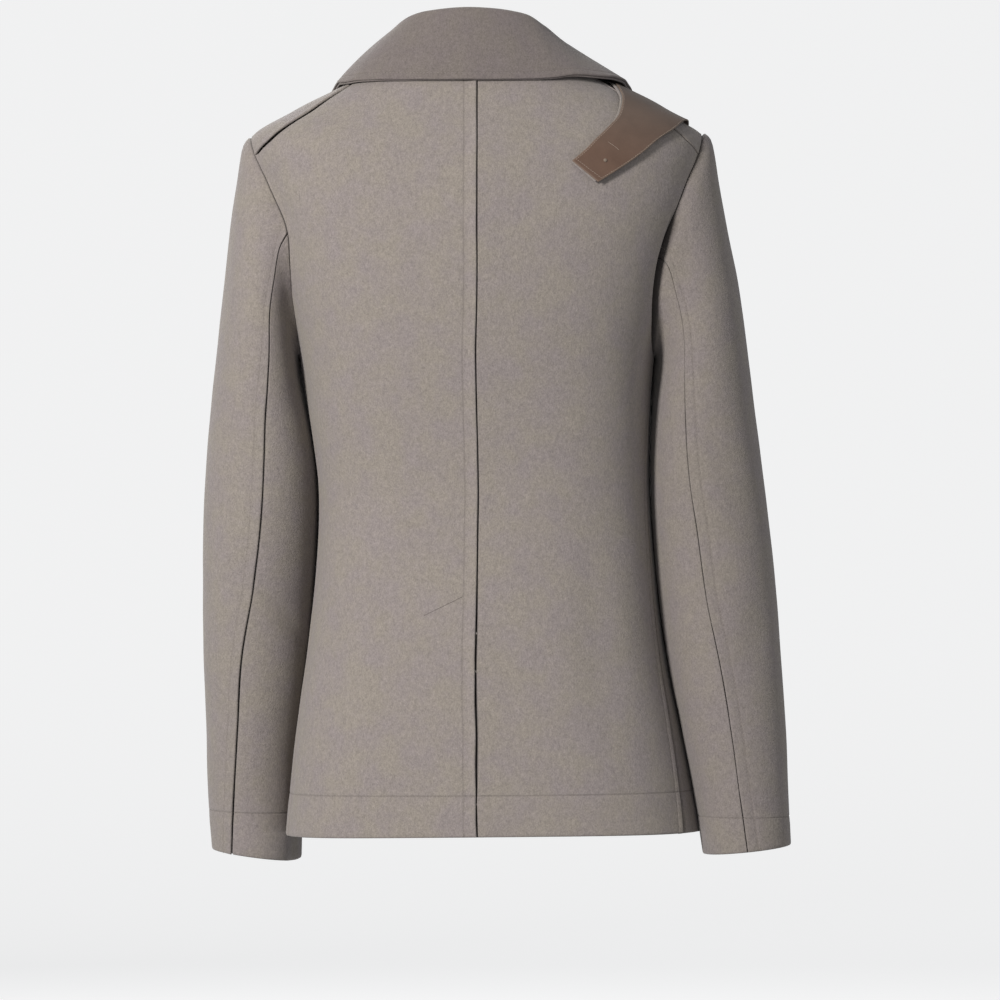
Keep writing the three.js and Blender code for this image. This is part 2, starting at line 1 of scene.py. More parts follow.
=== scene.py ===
import bmesh
import bpy
import numpy as np
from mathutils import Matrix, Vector


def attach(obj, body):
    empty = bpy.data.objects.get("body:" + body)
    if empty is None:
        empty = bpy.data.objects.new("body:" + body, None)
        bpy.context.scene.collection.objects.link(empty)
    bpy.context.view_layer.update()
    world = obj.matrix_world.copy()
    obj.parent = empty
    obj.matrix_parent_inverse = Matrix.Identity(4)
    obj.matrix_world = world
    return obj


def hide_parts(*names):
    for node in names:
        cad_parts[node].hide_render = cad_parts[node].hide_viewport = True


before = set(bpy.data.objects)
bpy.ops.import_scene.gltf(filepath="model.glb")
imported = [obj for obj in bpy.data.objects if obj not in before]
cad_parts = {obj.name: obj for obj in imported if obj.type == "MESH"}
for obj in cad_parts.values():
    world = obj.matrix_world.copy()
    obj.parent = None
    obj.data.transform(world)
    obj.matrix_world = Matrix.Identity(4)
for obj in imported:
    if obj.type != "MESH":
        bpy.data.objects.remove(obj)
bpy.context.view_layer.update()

# The studio: a sweep of pale paper below the coat and beyond it, a soft key light
# high behind its left side, a weak one behind its right, a broad one for its front,
# and a camera behind it, level with the waist.
def add_object(name, data):
    made = bpy.data.objects.new(name, data)
    bpy.context.scene.collection.objects.link(made)
    return made


camera_data = bpy.data.cameras.new("camera")
camera_data.lens = 180
camera_data.sensor_width = 36
camera = add_object("camera", camera_data)
camera.location = (-0.0207, 4.5, -0.416)
camera.rotation_euler = (np.pi / 2, 0, np.pi)
bpy.context.scene.camera = camera
bpy.context.scene.view_settings.view_transform = "Standard"

world = bpy.data.worlds.new("studio")
world.use_nodes = True
world_nodes, world_links = world.node_tree.nodes, world.node_tree.links
room_light = world_nodes["Background"]
room_light.inputs["Color"].default_value = (0.9, 0.92, 0.95, 1)
room_light.inputs["Strength"].default_value = 0.42
seen_room = world_nodes.new("ShaderNodeBackground")
seen_room.inputs["Color"].default_value = (0.887, 0.887, 0.887, 1)
ray = world_nodes.new("ShaderNodeLightPath")
choose = world_nodes.new("ShaderNodeMixShader")
world_links.new(ray.outputs["Is Camera Ray"], choose.inputs[0])
world_links.new(room_light.outputs[0], choose.inputs[1])
world_links.new(seen_room.outputs[0], choose.inputs[2])
world_links.new(choose.outputs[0], world_nodes["World Output"].inputs[0])
bpy.context.scene.world = world


def add_light(name, place, size, power, colour):
    lamp = bpy.data.lights.new(name, "AREA")
    lamp.shape = "RECTANGLE"
    lamp.size, lamp.size_y = size
    lamp.energy = power
    lamp.color = colour
    light = add_object(name, lamp)
    light.location = place
    aim = Vector((0, 0, -0.4)) - Vector(place)
    light.rotation_euler = aim.to_track_quat("-Z", "Y").to_euler()


def apply_bevel(piece, width, segments, angle=None):
    bpy.ops.object.modifier_add(type="BEVEL")
    bevel = piece.modifiers[-1]
    bevel.width, bevel.segments = width, segments
    if angle is not None:
        bevel.limit_method = "ANGLE"
        bevel.angle_limit = np.radians(angle)
    bpy.ops.object.modifier_apply(modifier=bevel.name)


add_light("key", (2.05, 3.0, 0.75), (0.55, 0.9), 172, (1.0, 0.985, 0.965))
add_light("fill", (-2.8, 1.4, -1.0), (1.4, 0.9), 14, (0.97, 0.98, 1.0))
add_light("front_fill", (1.0, -3.0, 1.6), (2.0, 2.0), 85, (1.0, 1.0, 1.0))

bpy.ops.object.select_all(action="DESELECT")
bpy.ops.mesh.primitive_plane_add(size=14, location=(0, 1.0, -1.3))
sweep = bpy.context.object
sweep.name = "paper_sweep"
bpy.ops.object.mode_set(mode="EDIT")
bpy.ops.mesh.select_all(action="DESELECT")
bpy.ops.mesh.select_mode(type="EDGE")
work = bmesh.from_edit_mesh(sweep.data)
for edge in work.edges:
    edge.select_set(all(vert.co.y < -6.9 for vert in edge.verts))
bmesh.update_edit_mesh(sweep.data)
bpy.ops.mesh.extrude_region_move(TRANSFORM_OT_translate={"value": (0, 0, 7)})
bpy.ops.object.mode_set(mode="OBJECT")
apply_bevel(sweep, 1.0, 12)
bpy.ops.object.shade_smooth()
bpy.ops.object.transform_apply(location=True, rotation=True, scale=True)
paper = bpy.data.materials.new("pale_paper")
paper.use_nodes = True
paper_shader = paper.node_tree.nodes["Principled BSDF"]
paper_shader.inputs["Base Color"].default_value = (0.45, 0.45, 0.45, 1)
paper_shader.inputs["Roughness"].default_value = 1.0
paper_shader.inputs["Specular IOR Level"].default_value = 0.0
paper_shader.inputs["Emission Color"].default_value = (0.9, 0.9, 0.9, 1)
paper_shader.inputs["Emission Strength"].default_value = 0.69
sweep.data.materials.append(paper)
sweep.visible_diffuse = False
sweep.visible_glossy = False


# The two back panels: melton cut with a shaped centre back seam, side seams and
# armholes. The left one laps over the right and is topstitched, and below the
# waist the lap is left open as a vent. The hem is turned up and stitched.
WOOL = 2.6  # thickness, and all sizes below are millimetres and degrees
HEM, HEM_DEPTH = -711, 36
HEM_STITCH = HEM + HEM_DEPTH
EDGE_STITCH, LAP_STITCH = 6.2, 11  # of side seams and front edges, of the centre lap
UNDERARM, SHOULDER_TIP, NECK = -285, -100, -8
SHOULDER_TURN = 30  # place round the armhole where the shoulder seam meets it
NECK_SIDE = 25  # angle at which the shoulder seam meets the neck
FAR = 99.0  # distance from a side that a point doesn't belong to


def table(names, rows):
    """Columns by name, and zeros where a row is short."""
    names = names.split()
    filled = [list(row) + [0] * (len(names) - len(row)) for row in rows]
    return dict(zip(names, np.array(filled, float).T))


def follow(rows, along, name, at):
    """A smooth curve through one column of a table."""
    xs, ys = rows[along], rows[name]
    last = len(xs) - 1
    before = np.maximum(np.arange(last + 1) - 1, 0)
    after = np.minimum(np.arange(last + 1) + 1, last)
    slope = (ys[after] - ys[before]) / (xs[after] - xs[before])
    at = np.asarray(at, float)
    i = np.clip(np.searchsorted(xs, at, side="right") - 1, 0, last - 1)
    long = xs[i + 1] - xs[i]
    t = np.clip((at - xs[i]) / long, 0, 1)
    back = 1 - t
    start = ys[i] * (1 + 2 * t) * back**2 + slope[i] * long * t * back**2
    end = ys[i + 1] * t * t * (3 - 2 * t) - slope[i + 1] * long * t * t * back
    below = np.minimum(at - xs[0], 0) * slope[0]
    above = np.maximum(at - xs[last], 0) * slope[last]
    return start + end + below + above


def follow_all(rows, along, at):
    return {name: follow(rows, along, name, at) for name in rows if name != along}


def ease(share):
    t = np.clip(share, 0, 1)
    return t * t * (3 - 2 * t)


def mix(a, b, share):
    return a + (b - a) * share


def unit(vectors):
    return vectors / np.maximum(np.linalg.norm(vectors, axis=-1, keepdims=True), 1e-9)


def cos(angle):
    return np.cos(np.radians(angle))


def sin(angle):
    return np.sin(np.radians(angle))


RINGS = table(
    "height half back front side low shift turn tilt",
    [
        [-711, 188, 131, 128, -714, -713, -17, -7, -0.017],
        [-640, 177, 127, 124, -641, -641, -13, -6.2, -0.009],
        [-550, 160.5, 118, 119, -550, -550, -9.5, -5],
        [-470, 151, 107, 118, -470, -470, -8, -4],
        [-405, 147.7, 103, 122, -405, -405, -6.7, -3],
        [-340, 151.7, 108, 130, -340, -340, -2.7, -1.5],
        [-285, 158, 114, 134, -285, -285, 0, -0.5],
        [-230, 171, 118, 128, -226, -228],
        [-175, 185, 118, 118, -173, -180],
        [-130, 197, 112, 104, -132, -143],
        [-100, 201, 104, 92, -94, -120],
        [-72, 166, 92, 80, -68.5, -102],
        [-45, 131, 82, 72, -50.5, -90],
        [-25, 98, 70, 66, -34.5, -81],
        [-8, 70, 55, 60, -18, -73],
    ],
)
FOLDS = [(128, -545, 80, 9, 3), (43, -585, 75, 9, 2.5), (29, -165, 38, 6, 2.5)]


def body(height, angle):
    """The form of the coat's body as worn. Angle 0 is its left side, 90 its back."""
    height, angle = np.broadcast_arrays(
        np.asarray(height, float), np.asarray(angle, float)
    )
    c, s = cos(angle), sin(angle)
    shape = follow_all(RINGS, "height", height)
    square = 0.03
    wide = shape["half"] * (c - square * cos(3 * angle)) / (1 - square)
    deep = (s + square * sin(3 * angle)) / (1 - square)
    deep = deep * np.where(s > 0, shape["back"], shape["front"])
    middle = np.where(s > 0, height, shape["low"])
    z = mix(shape["side"], middle, s * s) + shape["tilt"] * wide
    for fold_angle, fold_height, long, broad, depth in FOLDS:
        across, down = (angle - fold_angle) / broad, (height - fold_height) / long
        shrink = 1 - depth * np.exp(-across * across - down * down) / 130
        wide, deep = wide * shrink, deep * shrink
    crown = np.exp(-(((height + 102) / 14) ** 2)) * c**8
    z = z + crown * np.where(c > 0, 2.5, 4.5)
    turn = shape["turn"]
    x = shape["shift"] + wide * cos(turn) - deep * sin(turn)
    y = wide * sin(turn) + deep * cos(turn)
    return np.stack([x, y, z], axis=-1)


def body_normal(height, angle):
    round_it = body(height, angle + 0.5) - body(height, angle - 0.5)
    up = body(height + 0.5, angle) - body(height - 0.5, angle)
    return unit(np.cross(round_it, up))


def sided(side, angle):
    return angle if side > 0 else 180 - angle


def word(side):
    return "left" if side > 0 else "right"


DRAWN_IN = table(
    "turn left right",
    [
        [60, 0, 0],
        [84, 0, 0],
        [98, 3.5, 0.3],
        [110, 8, 2],
        [120, 12, 4],
        [135, 14.5, 7.6],
        [150, 14, 8.5],
        [165, 9, 7],
        [180, 3, 3],
        [195, 1, 1],
        [210, 0, 0],
        [240, 0, 0],
    ],
)


def armhole(turn, side=1):
    """Height and angle round the armhole, from the shoulder tip over the back. Its
    lower part is drawn in towards the side, where the sleeve lies on the body."""
    up = (1 + cos(turn)) / 2
    s = sin(turn)
    reach = np.where(s > 0, 22, 32) / 0.88
    angle = reach * (s + 0.12 * sin(3 * turn)) + 8 * (1 - up)
    drawn = follow(DRAWN_IN, "turn", word(side), turn)
    return mix(UNDERARM, SHOULDER_TIP, up), angle - drawn


SIDE_SEAM = table(
    "height left right",
    [
        [-711, 17, 26],
        [-668, 16.5, 23],
        [-560, 14, 18],
        [-405, 12, 12.5],
        [-285, 5, 5],
    ],
)
shoulder_height, shoulder_angle = armhole(SHOULDER_TURN)
SHOULDER_SEAM = table(
    "height angle",
    [
        [float(shoulder_height), float(shoulder_angle)],
        [-101, 27],
        [-82, 30],
        [-55, 29.5],
        [NECK, NECK_SIDE],
    ],
)

SLEEVE_NAMES = "along outX outZ inX inZ y deep seam"
LEFT_ARM = table(
    SLEEVE_NAMES,
    [
        [0, 199, -96, 158, -285, 0, 57, 82],
        [18, 207.5, -105, 161, -285.5, 0, 58, 88],
        [45, 213.5, -132, 162.5, -289, 0, 59, 97],
        [85, 220.5, -172, 162, -297, -1, 60, 102],
        [135, 226, -220, 160, -311, -3, 61, 104],
        [190, 231.5, -272, 155.5, -332, -6, 61, 101],
        [245, 237.5, -325, 149, -362, -9, 60, 96],
        [300, 243, -383, 145.5, -400, -12, 58, 94.5],
        [355, 246.3, -440, 145.5, -445, -17, 56, 92.5],
        [415, 247, -500, 148.5, -500, -25, 54, 86],
        [475, 246.6, -560, 154, -560, -34, 51, 76],
        [535, 244.7, -620, 160.5, -620, -43, 48, 72],
        [595, 243.5, -680, 164.5, -680, -53, 45, 67],
        [648, 240, -734, 167, -744, -60, 43, 60],
    ],
)
RIGHT_ARM = table(
    SLEEVE_NAMES,
    [
        [0, 199, -96, 158, -285, 0, 57, 96],
        [18, 208.5, -102, 161.5, -285.5, 0, 58, 101],
        [45, 215, -132, 163.5, -289, 0, 59, 106],
        [85, 223, -172, 164, -297, 1, 60, 109],
        [135, 233.5, -222, 163, -311, 3, 61, 111],
        [190, 241, -275, 160.5, -332, 6, 61, 112],
        [245, 247.5, -330, 158.5, -362, 9, 60, 112],
        [300, 255, -388, 158, -400, 12, 58, 110.5],
        [355, 261.5, -445, 160.5, -445, 16, 56, 107],
        [415, 267, -503, 165.5, -503, 24, 54, 104],
        [475, 271, -563, 174, -563, 34, 51, 98],
        [535, 274.3, -623, 185, -623, 44, 48, 95.5],
        [595, 276.5, -683, 196.5, -680, 52, 45, 95],
        [648, 278, -722, 204, -730, 57, 43, 93],
    ],
)
ARMS = {1: LEFT_ARM, -1: RIGHT_ARM}
SLEEVE_FOLDS = {
    1: [(435, 122, 10, 30, 0.69, 2.6), (300, 60, 60, 26, -1.0, 1.6)],
    -1: [(285, 78, 42, 22, -1.4, 2.2), (450, 60, 40, 24, 1.2, 1.6)],
}


def plane_ring(side, along, turn):
    """The plain ring of a sleeve at a distance along it."""
    shape = follow_all(ARMS[side], "along", along)
    out = (1 + cos(turn)) / 2
    x = side * mix(shape["inX"], shape["outX"], out)
    z = mix(shape["inZ"], shape["outZ"], out)
    y = shape["y"] + shape["deep"] * sin(turn)
    x, y, z = np.broadcast_arrays(x, y, z)
    return np.stack([x, y, z], axis=-1)


def sleeve(side, along, turn):
    """A place on a sleeve, which takes the armhole's shape towards its top."""
    along, turn = np.broadcast_arrays(np.asarray(along, float), np.asarray(turn, float))
    point = plane_ring(side, along, turn)
    fade = (np.maximum(1 - along / 120, 0) ** 2)[..., None]
    height, angle = armhole(turn, side)
    from_body = body(height, sided(side, angle))
    point = point + (from_body - plane_ring(side, 0 * along, turn)) * fade
    head = ease(along / 5) * np.exp(-(((along - 5) / 15) ** 2))
    head = head * np.maximum(cos(turn), 0) ** 2
    point[..., 2] += head * (2.0 if side > 0 else 3.5)
    point[..., 0] += head * side
    facing = np.stack([side * cos(turn), sin(turn), 0 * turn], axis=-1)
    for middle, fold_turn, long, broad, slant, depth in SLEEVE_FOLDS[side]:
        across = (along - middle - slant * (turn - fold_turn)) / long
        round_it = (turn - fold_turn) / broad
        dent = depth * np.exp(-across * across - round_it * round_it)
        point = point - facing * dent[..., None]
    return point


def sleeve_normal(side, along, turn):
    round_it = sleeve(side, along, turn + 0.5) - sleeve(side, along, turn - 0.5)
    down = sleeve(side, along + 0.5, turn) - sleeve(side, along, turn)
    return -side * unit(np.cross(round_it, down))


def armhole_normal(side, turn):
    """The slant on which the walls of body and sleeve meet."""
    height, angle = armhole(turn, side)
    flat = body_normal(height, sided(side, angle))
    between = unit(flat + sleeve_normal(side, 4.0 + 0 * turn, turn))
    share = np.sum(between * flat, axis=-1, keepdims=True)
    return between / np.maximum(share, 0.6)


def distances(line):
    """Distance of each point of a line from its start, along the line."""
    steps = np.linalg.norm(np.diff(line, axis=0), axis=1)
    return np.concatenate([[0], np.cumsum(steps)])


def place_columns(line, near_start, near_end, between):
    """Columns of one row: at set distances from both its ends, and even between.
    Returns their shares of the line and their distances from its start and end."""
    along = distances(line)
    total = along[-1]
    first, last = np.array(near_start), total - np.array(near_end)[::-1]
    middle = np.linspace(first[-1], last[0], between + 2)[1:-1]
    at = np.concatenate([first, middle, last])
    shares = np.interp(at, along, np.linspace(0, 1, len(line)))
    return shares, at, total - at


def undulate(points):
    """Slow rise and fall of cloth that hangs, and a low ridge down the centre back."""
    x, y, z = points[..., 0], points[..., 1], points[..., 2]
    slow = np.sin(x / 23 + 1.3 * np.sin(z / 71)) * np.sin(z / 59 + 0.7 + x / 90)
    quick = np.sin(x / 7.9 + z / 31 + y / 13) * np.sin(z / 11.3 - x / 17)
    ridge = np.exp(-np.abs(x) / 25) * ease((y - 50) / 30) * ease((-45 - z) / 40)
    return 0.45 * slow + 0.1 * quick + 1.3 * ridge


class Edge:
    """How a panel is finished along one side, from the distances to that side."""

    def __init__(
        self, rise=0, over=9, stitch=None, dive=0, width=2.2, round_off=1.1, cut=0.28
    ):
        self.rise, self.over, self.stitch, self.cut = rise, over, stitch, cut
        self.dive, self.width, self.round_off = dive, width, round_off

    def shape(self, far):
        """Shift of the wall, share of its thickness, groove, and painted shade."""
        shift = self.rise * (1 - ease(far / self.over))
        shift = shift - self.dive * (1 - ease(far / self.width))
        t = np.clip(far / self.round_off, 0, 1)
        thick = np.maximum(np.sqrt(1 - (1 - t) ** 2), 0.18)
        groove = 0 * far
        if self.stitch is not None:
            groove = self.cut * np.exp(-(((far - self.stitch) / 0.6) ** 2))
        # Painted shade: where a side dives, the colour near it is darkened for the shade
        # that falls in the seam or crevice.
        painted_shade = (1 - ease(far / (self.width * 1.15))) * np.minimum(self.dive / 1.5, 1)
        return shift, thick, groove, painted_shade


TURNED_HEM = Edge(stitch=HEM_DEPTH, round_off=1.3, cut=0.42)


def hem_fullness(far):
    """How far the turned up cloth lifts the outer face between edge and stitching."""
    return 0.35 * ease((HEM_DEPTH - 2 - far) / 8) * ease(far / 3)


def add_mesh(name, points, faces):
    mesh = bpy.data.meshes.new(name)
    mesh.from_pydata(points.tolist(), [], faces)
    mesh.polygons.foreach_set("use_smooth", np.ones(len(mesh.polygons), bool))
    return add_object(name, mesh)


def add_values(piece, key, values):
    """Gives each point of a piece a number that its material reads by name."""
    layer = piece.data.attributes.new(key, "FLOAT", "POINT")
    layer.data.foreach_set("value", values.reshape(-1).astype(np.float32))


def close_wall(name, outer, inner):
    """A closed mesh between two grids of points in millimetres, rows by columns."""
    rows, columns = outer.shape[:2]
    count = rows * columns
    index = np.arange(count).reshape(rows, columns)

    def quads(grid):
        a, b = grid[:-1, :-1], grid[:-1, 1:]
        c, d = grid[1:, 1:], grid[1:, :-1]
        return np.stack([a, b, c, d], axis=-1).reshape(-1, 4)

    rim = [index[0, :-1], index[:-1, -1], index[-1, :0:-1], index[:0:-1, 0]]
    rim = np.concatenate(rim)
    after = np.roll(rim, -1)
    wall = np.stack([rim, rim + count, after + count, after], axis=-1)
    faces = np.concatenate([quads(index), quads(index + count)[:, ::-1], wall])
    points = np.concatenate([outer.reshape(-1, 3), inner.reshape(-1, 3)]) / 1000
    p = points[faces]
    outward = np.cross(p[:, 1], p[:, 2]) + np.cross(p[:, 2], p[:, 3])
    if np.sum(p[:, 0] * outward) < 0:
        faces = faces[:, ::-1]
    piece = add_mesh(name, points, faces.tolist())
    piece.data.validate()
    return piece


thread_lines = {}  # of each sewn piece: the places and normals that its stitches follow


def thread_line(far, distance, face, normals):
    """The line on a face at a distance from one of its sides."""
    past = far > distance
    if np.sum(np.diff(past, axis=0)) > np.sum(np.diff(past, axis=1)):
        far, face, normals = far.T, face.transpose(1, 0, 2), normals.transpose(1, 0, 2)
    places, ups = [], []
    for row, points, facing in zip(far, face, normals):
        crossing = np.nonzero(np.diff(row > distance))[0]
        if len(crossing):
            i = crossing[0]
            share = (distance - row[i]) / (row[i + 1] - row[i])
            places.append(mix(points[i], points[i + 1], share))
            ups.append(mix(facing[i], facing[i + 1], share))
    return np.array(places), np.array(ups)


def sew(name, middles, normals, thick, edges, extra=0.0, smooth=1.0):
    """A panel from its middle surface, with each of its sides finished.
    edges are pairs of an Edge and the distances of the grid's points from it."""
    shift = undulate(middles) * smooth
    share = np.ones(middles.shape[:2])
    groove = np.zeros(middles.shape[:2])
    painted_shade = np.zeros(middles.shape[:2])
    for edge, far in edges:
        moved, part, cut, deep = edge.shape(far)
        shift = shift + moved
        share = np.minimum(share, part)
        groove = np.maximum(groove, cut)
        painted_shade = np.maximum(painted_shade, deep)
    half = thick / 2 * share
    outer = middles + normals * (shift + extra + half - groove)[..., None]
    inner = middles + normals * (shift - half)[..., None]
    lines = [
        thread_line(far + 0 * share, edge.stitch, outer, normals)
        for edge, far in edges
        if edge.stitch is not None
    ]
    thread_lines[name] = [line for line in lines if len(line[0]) > 3]
    piece = close_wall(name, outer, inner)
    # The material darkens the outer face by this painted shade of seams, crevices and
    # stitch grooves; the inner face gets none.
    add_values(piece, "painted_shade", np.stack([np.maximum(painted_shade, groove * 0.8), 0 * painted_shade]))
    return piece


class Shade:
    """A shader socket. Arithmetic on it adds Math nodes, and node() any other."""

    def __init__(self, tree, socket=None):
        self.tree, self.socket = tree, socket

    def node(self, kind, settings=None, sockets=None, output=0):
        made = self.tree.nodes.new("ShaderNode" + kind)
        for name, value in (settings or {}).items():
            setattr(made, name, value)
        for name, value in (sockets or {}).items():
            if isinstance(value, Shade):
                self.tree.links.new(value.socket, made.inputs[name])
            else:
                made.inputs[name].default_value = value
        return Shade(self.tree, made.outputs[output])

    def maths(self, operation, first, second):
        return self.node("Math", {"operation": operation}, {0: first, 1: second})

    def __add__(self, other):
        return self.maths("ADD", self, other)

    __radd__ = __add__

    def __mul__(self, other):
        return self.maths("MULTIPLY", self, other)

    __rmul__ = __mul__

    def tint(self, share, first, second, blend="MIX"):
        settings = {"data_type": "RGBA", "blend_type": blend}
        return self.node("Mix", settings, {0: share, 6: first, 7: second}, 2)

    def light(self, colour, light):
        """A colour times a grey."""
        grey = self.node("CombineColor", None, {0: light, 1: light, 2: light})
        return self.tint(1.0, colour, grey, "MULTIPLY")

    def spread(self, value, low, high, start=0.0, end=1.0):
        sockets = {0: value, 1: low, 2: high, 3: start, 4: end}
        return self.node("MapRange", None, sockets)

    def values(self, key):
        return self.node("Attribute", {"attribute_name": key}, output=2)

    def noise(self, place, scale, detail, rough):
        sockets = {"Vector": place, "Scale": scale}
        sockets |= {"Detail": detail, "Roughness": rough}
        return self.node("TexNoise", None, sockets)


def new_material(name):
    material = bpy.data.materials.new(name)
    material.use_nodes = True
    tree = material.node_tree
    shader = tree.nodes["Principled BSDF"]
    return material, Shade(tree), shader


def finish_material(shade, shader, colour, height, strength, distance, roughness=None):
    bump = shade.node(
        "Bump", None, {"Strength": strength, "Distance": distance, "Height": height}
    )
    shade.tree.links.new(bump.socket, shader.inputs["Normal"])
    shade.tree.links.new(colour.socket, shader.inputs["Base Color"])
    if roughness is not None:
        shade.tree.links.new(roughness.socket, shader.inputs["Roughness"])


def melton(name, warm, cool):
    """Milled wool: two close greys in soft clouds, flecked fibres and a short nap."""
    material, shade, shader = new_material(name)
    place = shade.node("TexCoord", output=3)
    drawn = shade.node("Mapping", None, {"Vector": place, "Scale": (1, 1, 0.75)})
    clouds = shade.noise(place, 38, 3, 0.55)
    flecks = shade.noise(drawn, 820, 3, 0.75)
    grain = shade.noise(drawn, 330, 2, 0.6)
    nap = shade.noise(drawn, 1500, 2, 0.6)
    cloth = shade.tint(shade.spread(clouds, 0.35, 0.65), (*warm, 1), (*cool, 1))
    cloth = shade.light(cloth, 0.24 + 1.06 * flecks + 0.46 * grain)
    # Painted shade: the colour goes towards near black in seams, crevices and stitch
    # grooves.
    cloth = shade.tint(shade.values("painted_shade") * 0.82, cloth, (0.022, 0.017, 0.015, 1))
    relief = 0.5 * grain + 0.9 * flecks + 0.4 * nap
    finish_material(shade, shader, cloth, relief, 0.75, 0.0006)
    shader.inputs["Roughness"].default_value = 0.96
    shader.inputs["Specular IOR Level"].default_value = 0.22
    shader.inputs["Sheen Weight"].default_value = 0.22
    shader.inputs["Sheen Roughness"].default_value = 0.55
    shader.inputs["Sheen Tint"].default_value = (0.86, 0.84, 0.82, 1)
    return material


wool_material = melton("melton_wool", (0.222, 0.194, 0.168), (0.212, 0.183, 0.175))
# Painted shade: the right sleeve's melton is about an eighth darker than the body's, for
# the shade that sleeve lies in.
shaded_sleeve_material = melton(
    "melton_right_sleeve_painted_shade", (0.194, 0.169, 0.147), (0.186, 0.160, 0.153)
)
collar_material = melton("melton_collar", (0.146, 0.124, 0.111), (0.142, 0.119, 0.114))


def dress(piece, material, slot, *nodes):
    """Gives a piece its material, body and the CAD nodes it stands for; slot is unused."""
    if nodes:
        piece.name = nodes[0] + "_sewn"
    piece.data.materials.clear()
    piece.data.materials.append(material)
    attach(piece, "root")
    if nodes:
        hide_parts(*nodes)
    return piece


def hem_rows():
    """Heights from the hem to the underarm, close together at edge and stitching."""
    edge = HEM + np.array([0, 0.25, 0.6, 1.1, 1.8, 3, 5, 8])
    low = np.arange(HEM + 12, HEM_STITCH - 3, 4.5)
    groove = HEM_STITCH + np.array([-2, -1.2, -0.8, -0.4, 0, 0.4, 0.8, 1.2, 2])
    high = np.linspace(HEM_STITCH + 5, UNDERARM, 86)
    return np.concatenate([edge, low, groove, high])


NEAR_EDGE = [0, 0.25, 0.6, 1.1, 1.7, 2.4, 3.4, 5]
ALONG_SEAM = NEAR_EDGE + [7.5, 9.4, 10.2, 10.6, 11, 11.4, 11.8, 12.6, 14, 17]
ALONG_EDGE = NEAR_EDGE + [5.6, 6, 6.4, 6.8, 7.6, 9, 12]
PAST_SEAM = [0, 2, 4, 6, 7, 7.6, 8, 8.4, 8.8, 9.2, 9.7, 10.3, 11, 12, 14, 17]
LAP = 8  # how far the right back reaches under the left one


def crevice(side, turn):
    """Depth of the fold at the armhole's back, where the sleeve is drawn back."""
    if side > 0:
        return 0 * turn
    return 6.5 * ease((turn - 64) / 34) * (1 - ease((turn - 140) / 38))


def seam_dip(side, turn):
    """Depth of the armhole seam itself, which is lost in the fold at its foot."""
    return 1.7 * (1 - ease((turn - 98) / 16) * (1 - ease((turn - 200) / 20)))


def waver(height, size):
    """Small unevenness of an edge that was pressed by hand."""
    return size * (np.sin(height / 21) + 0.6 * np.sin(height / 8.3 + 1))


VENT_GAP = table(
    "height wide",
    [
        [-711, 1.1],
        [-690, 1.0],
        [-682, 0.9],
        [-660, 2.6],
        [-622, 3.6],
        [-567, 2.1],
        [-533, 2.6],
        [-469, 1.5],
        [-420, 1.4],
    ],
)


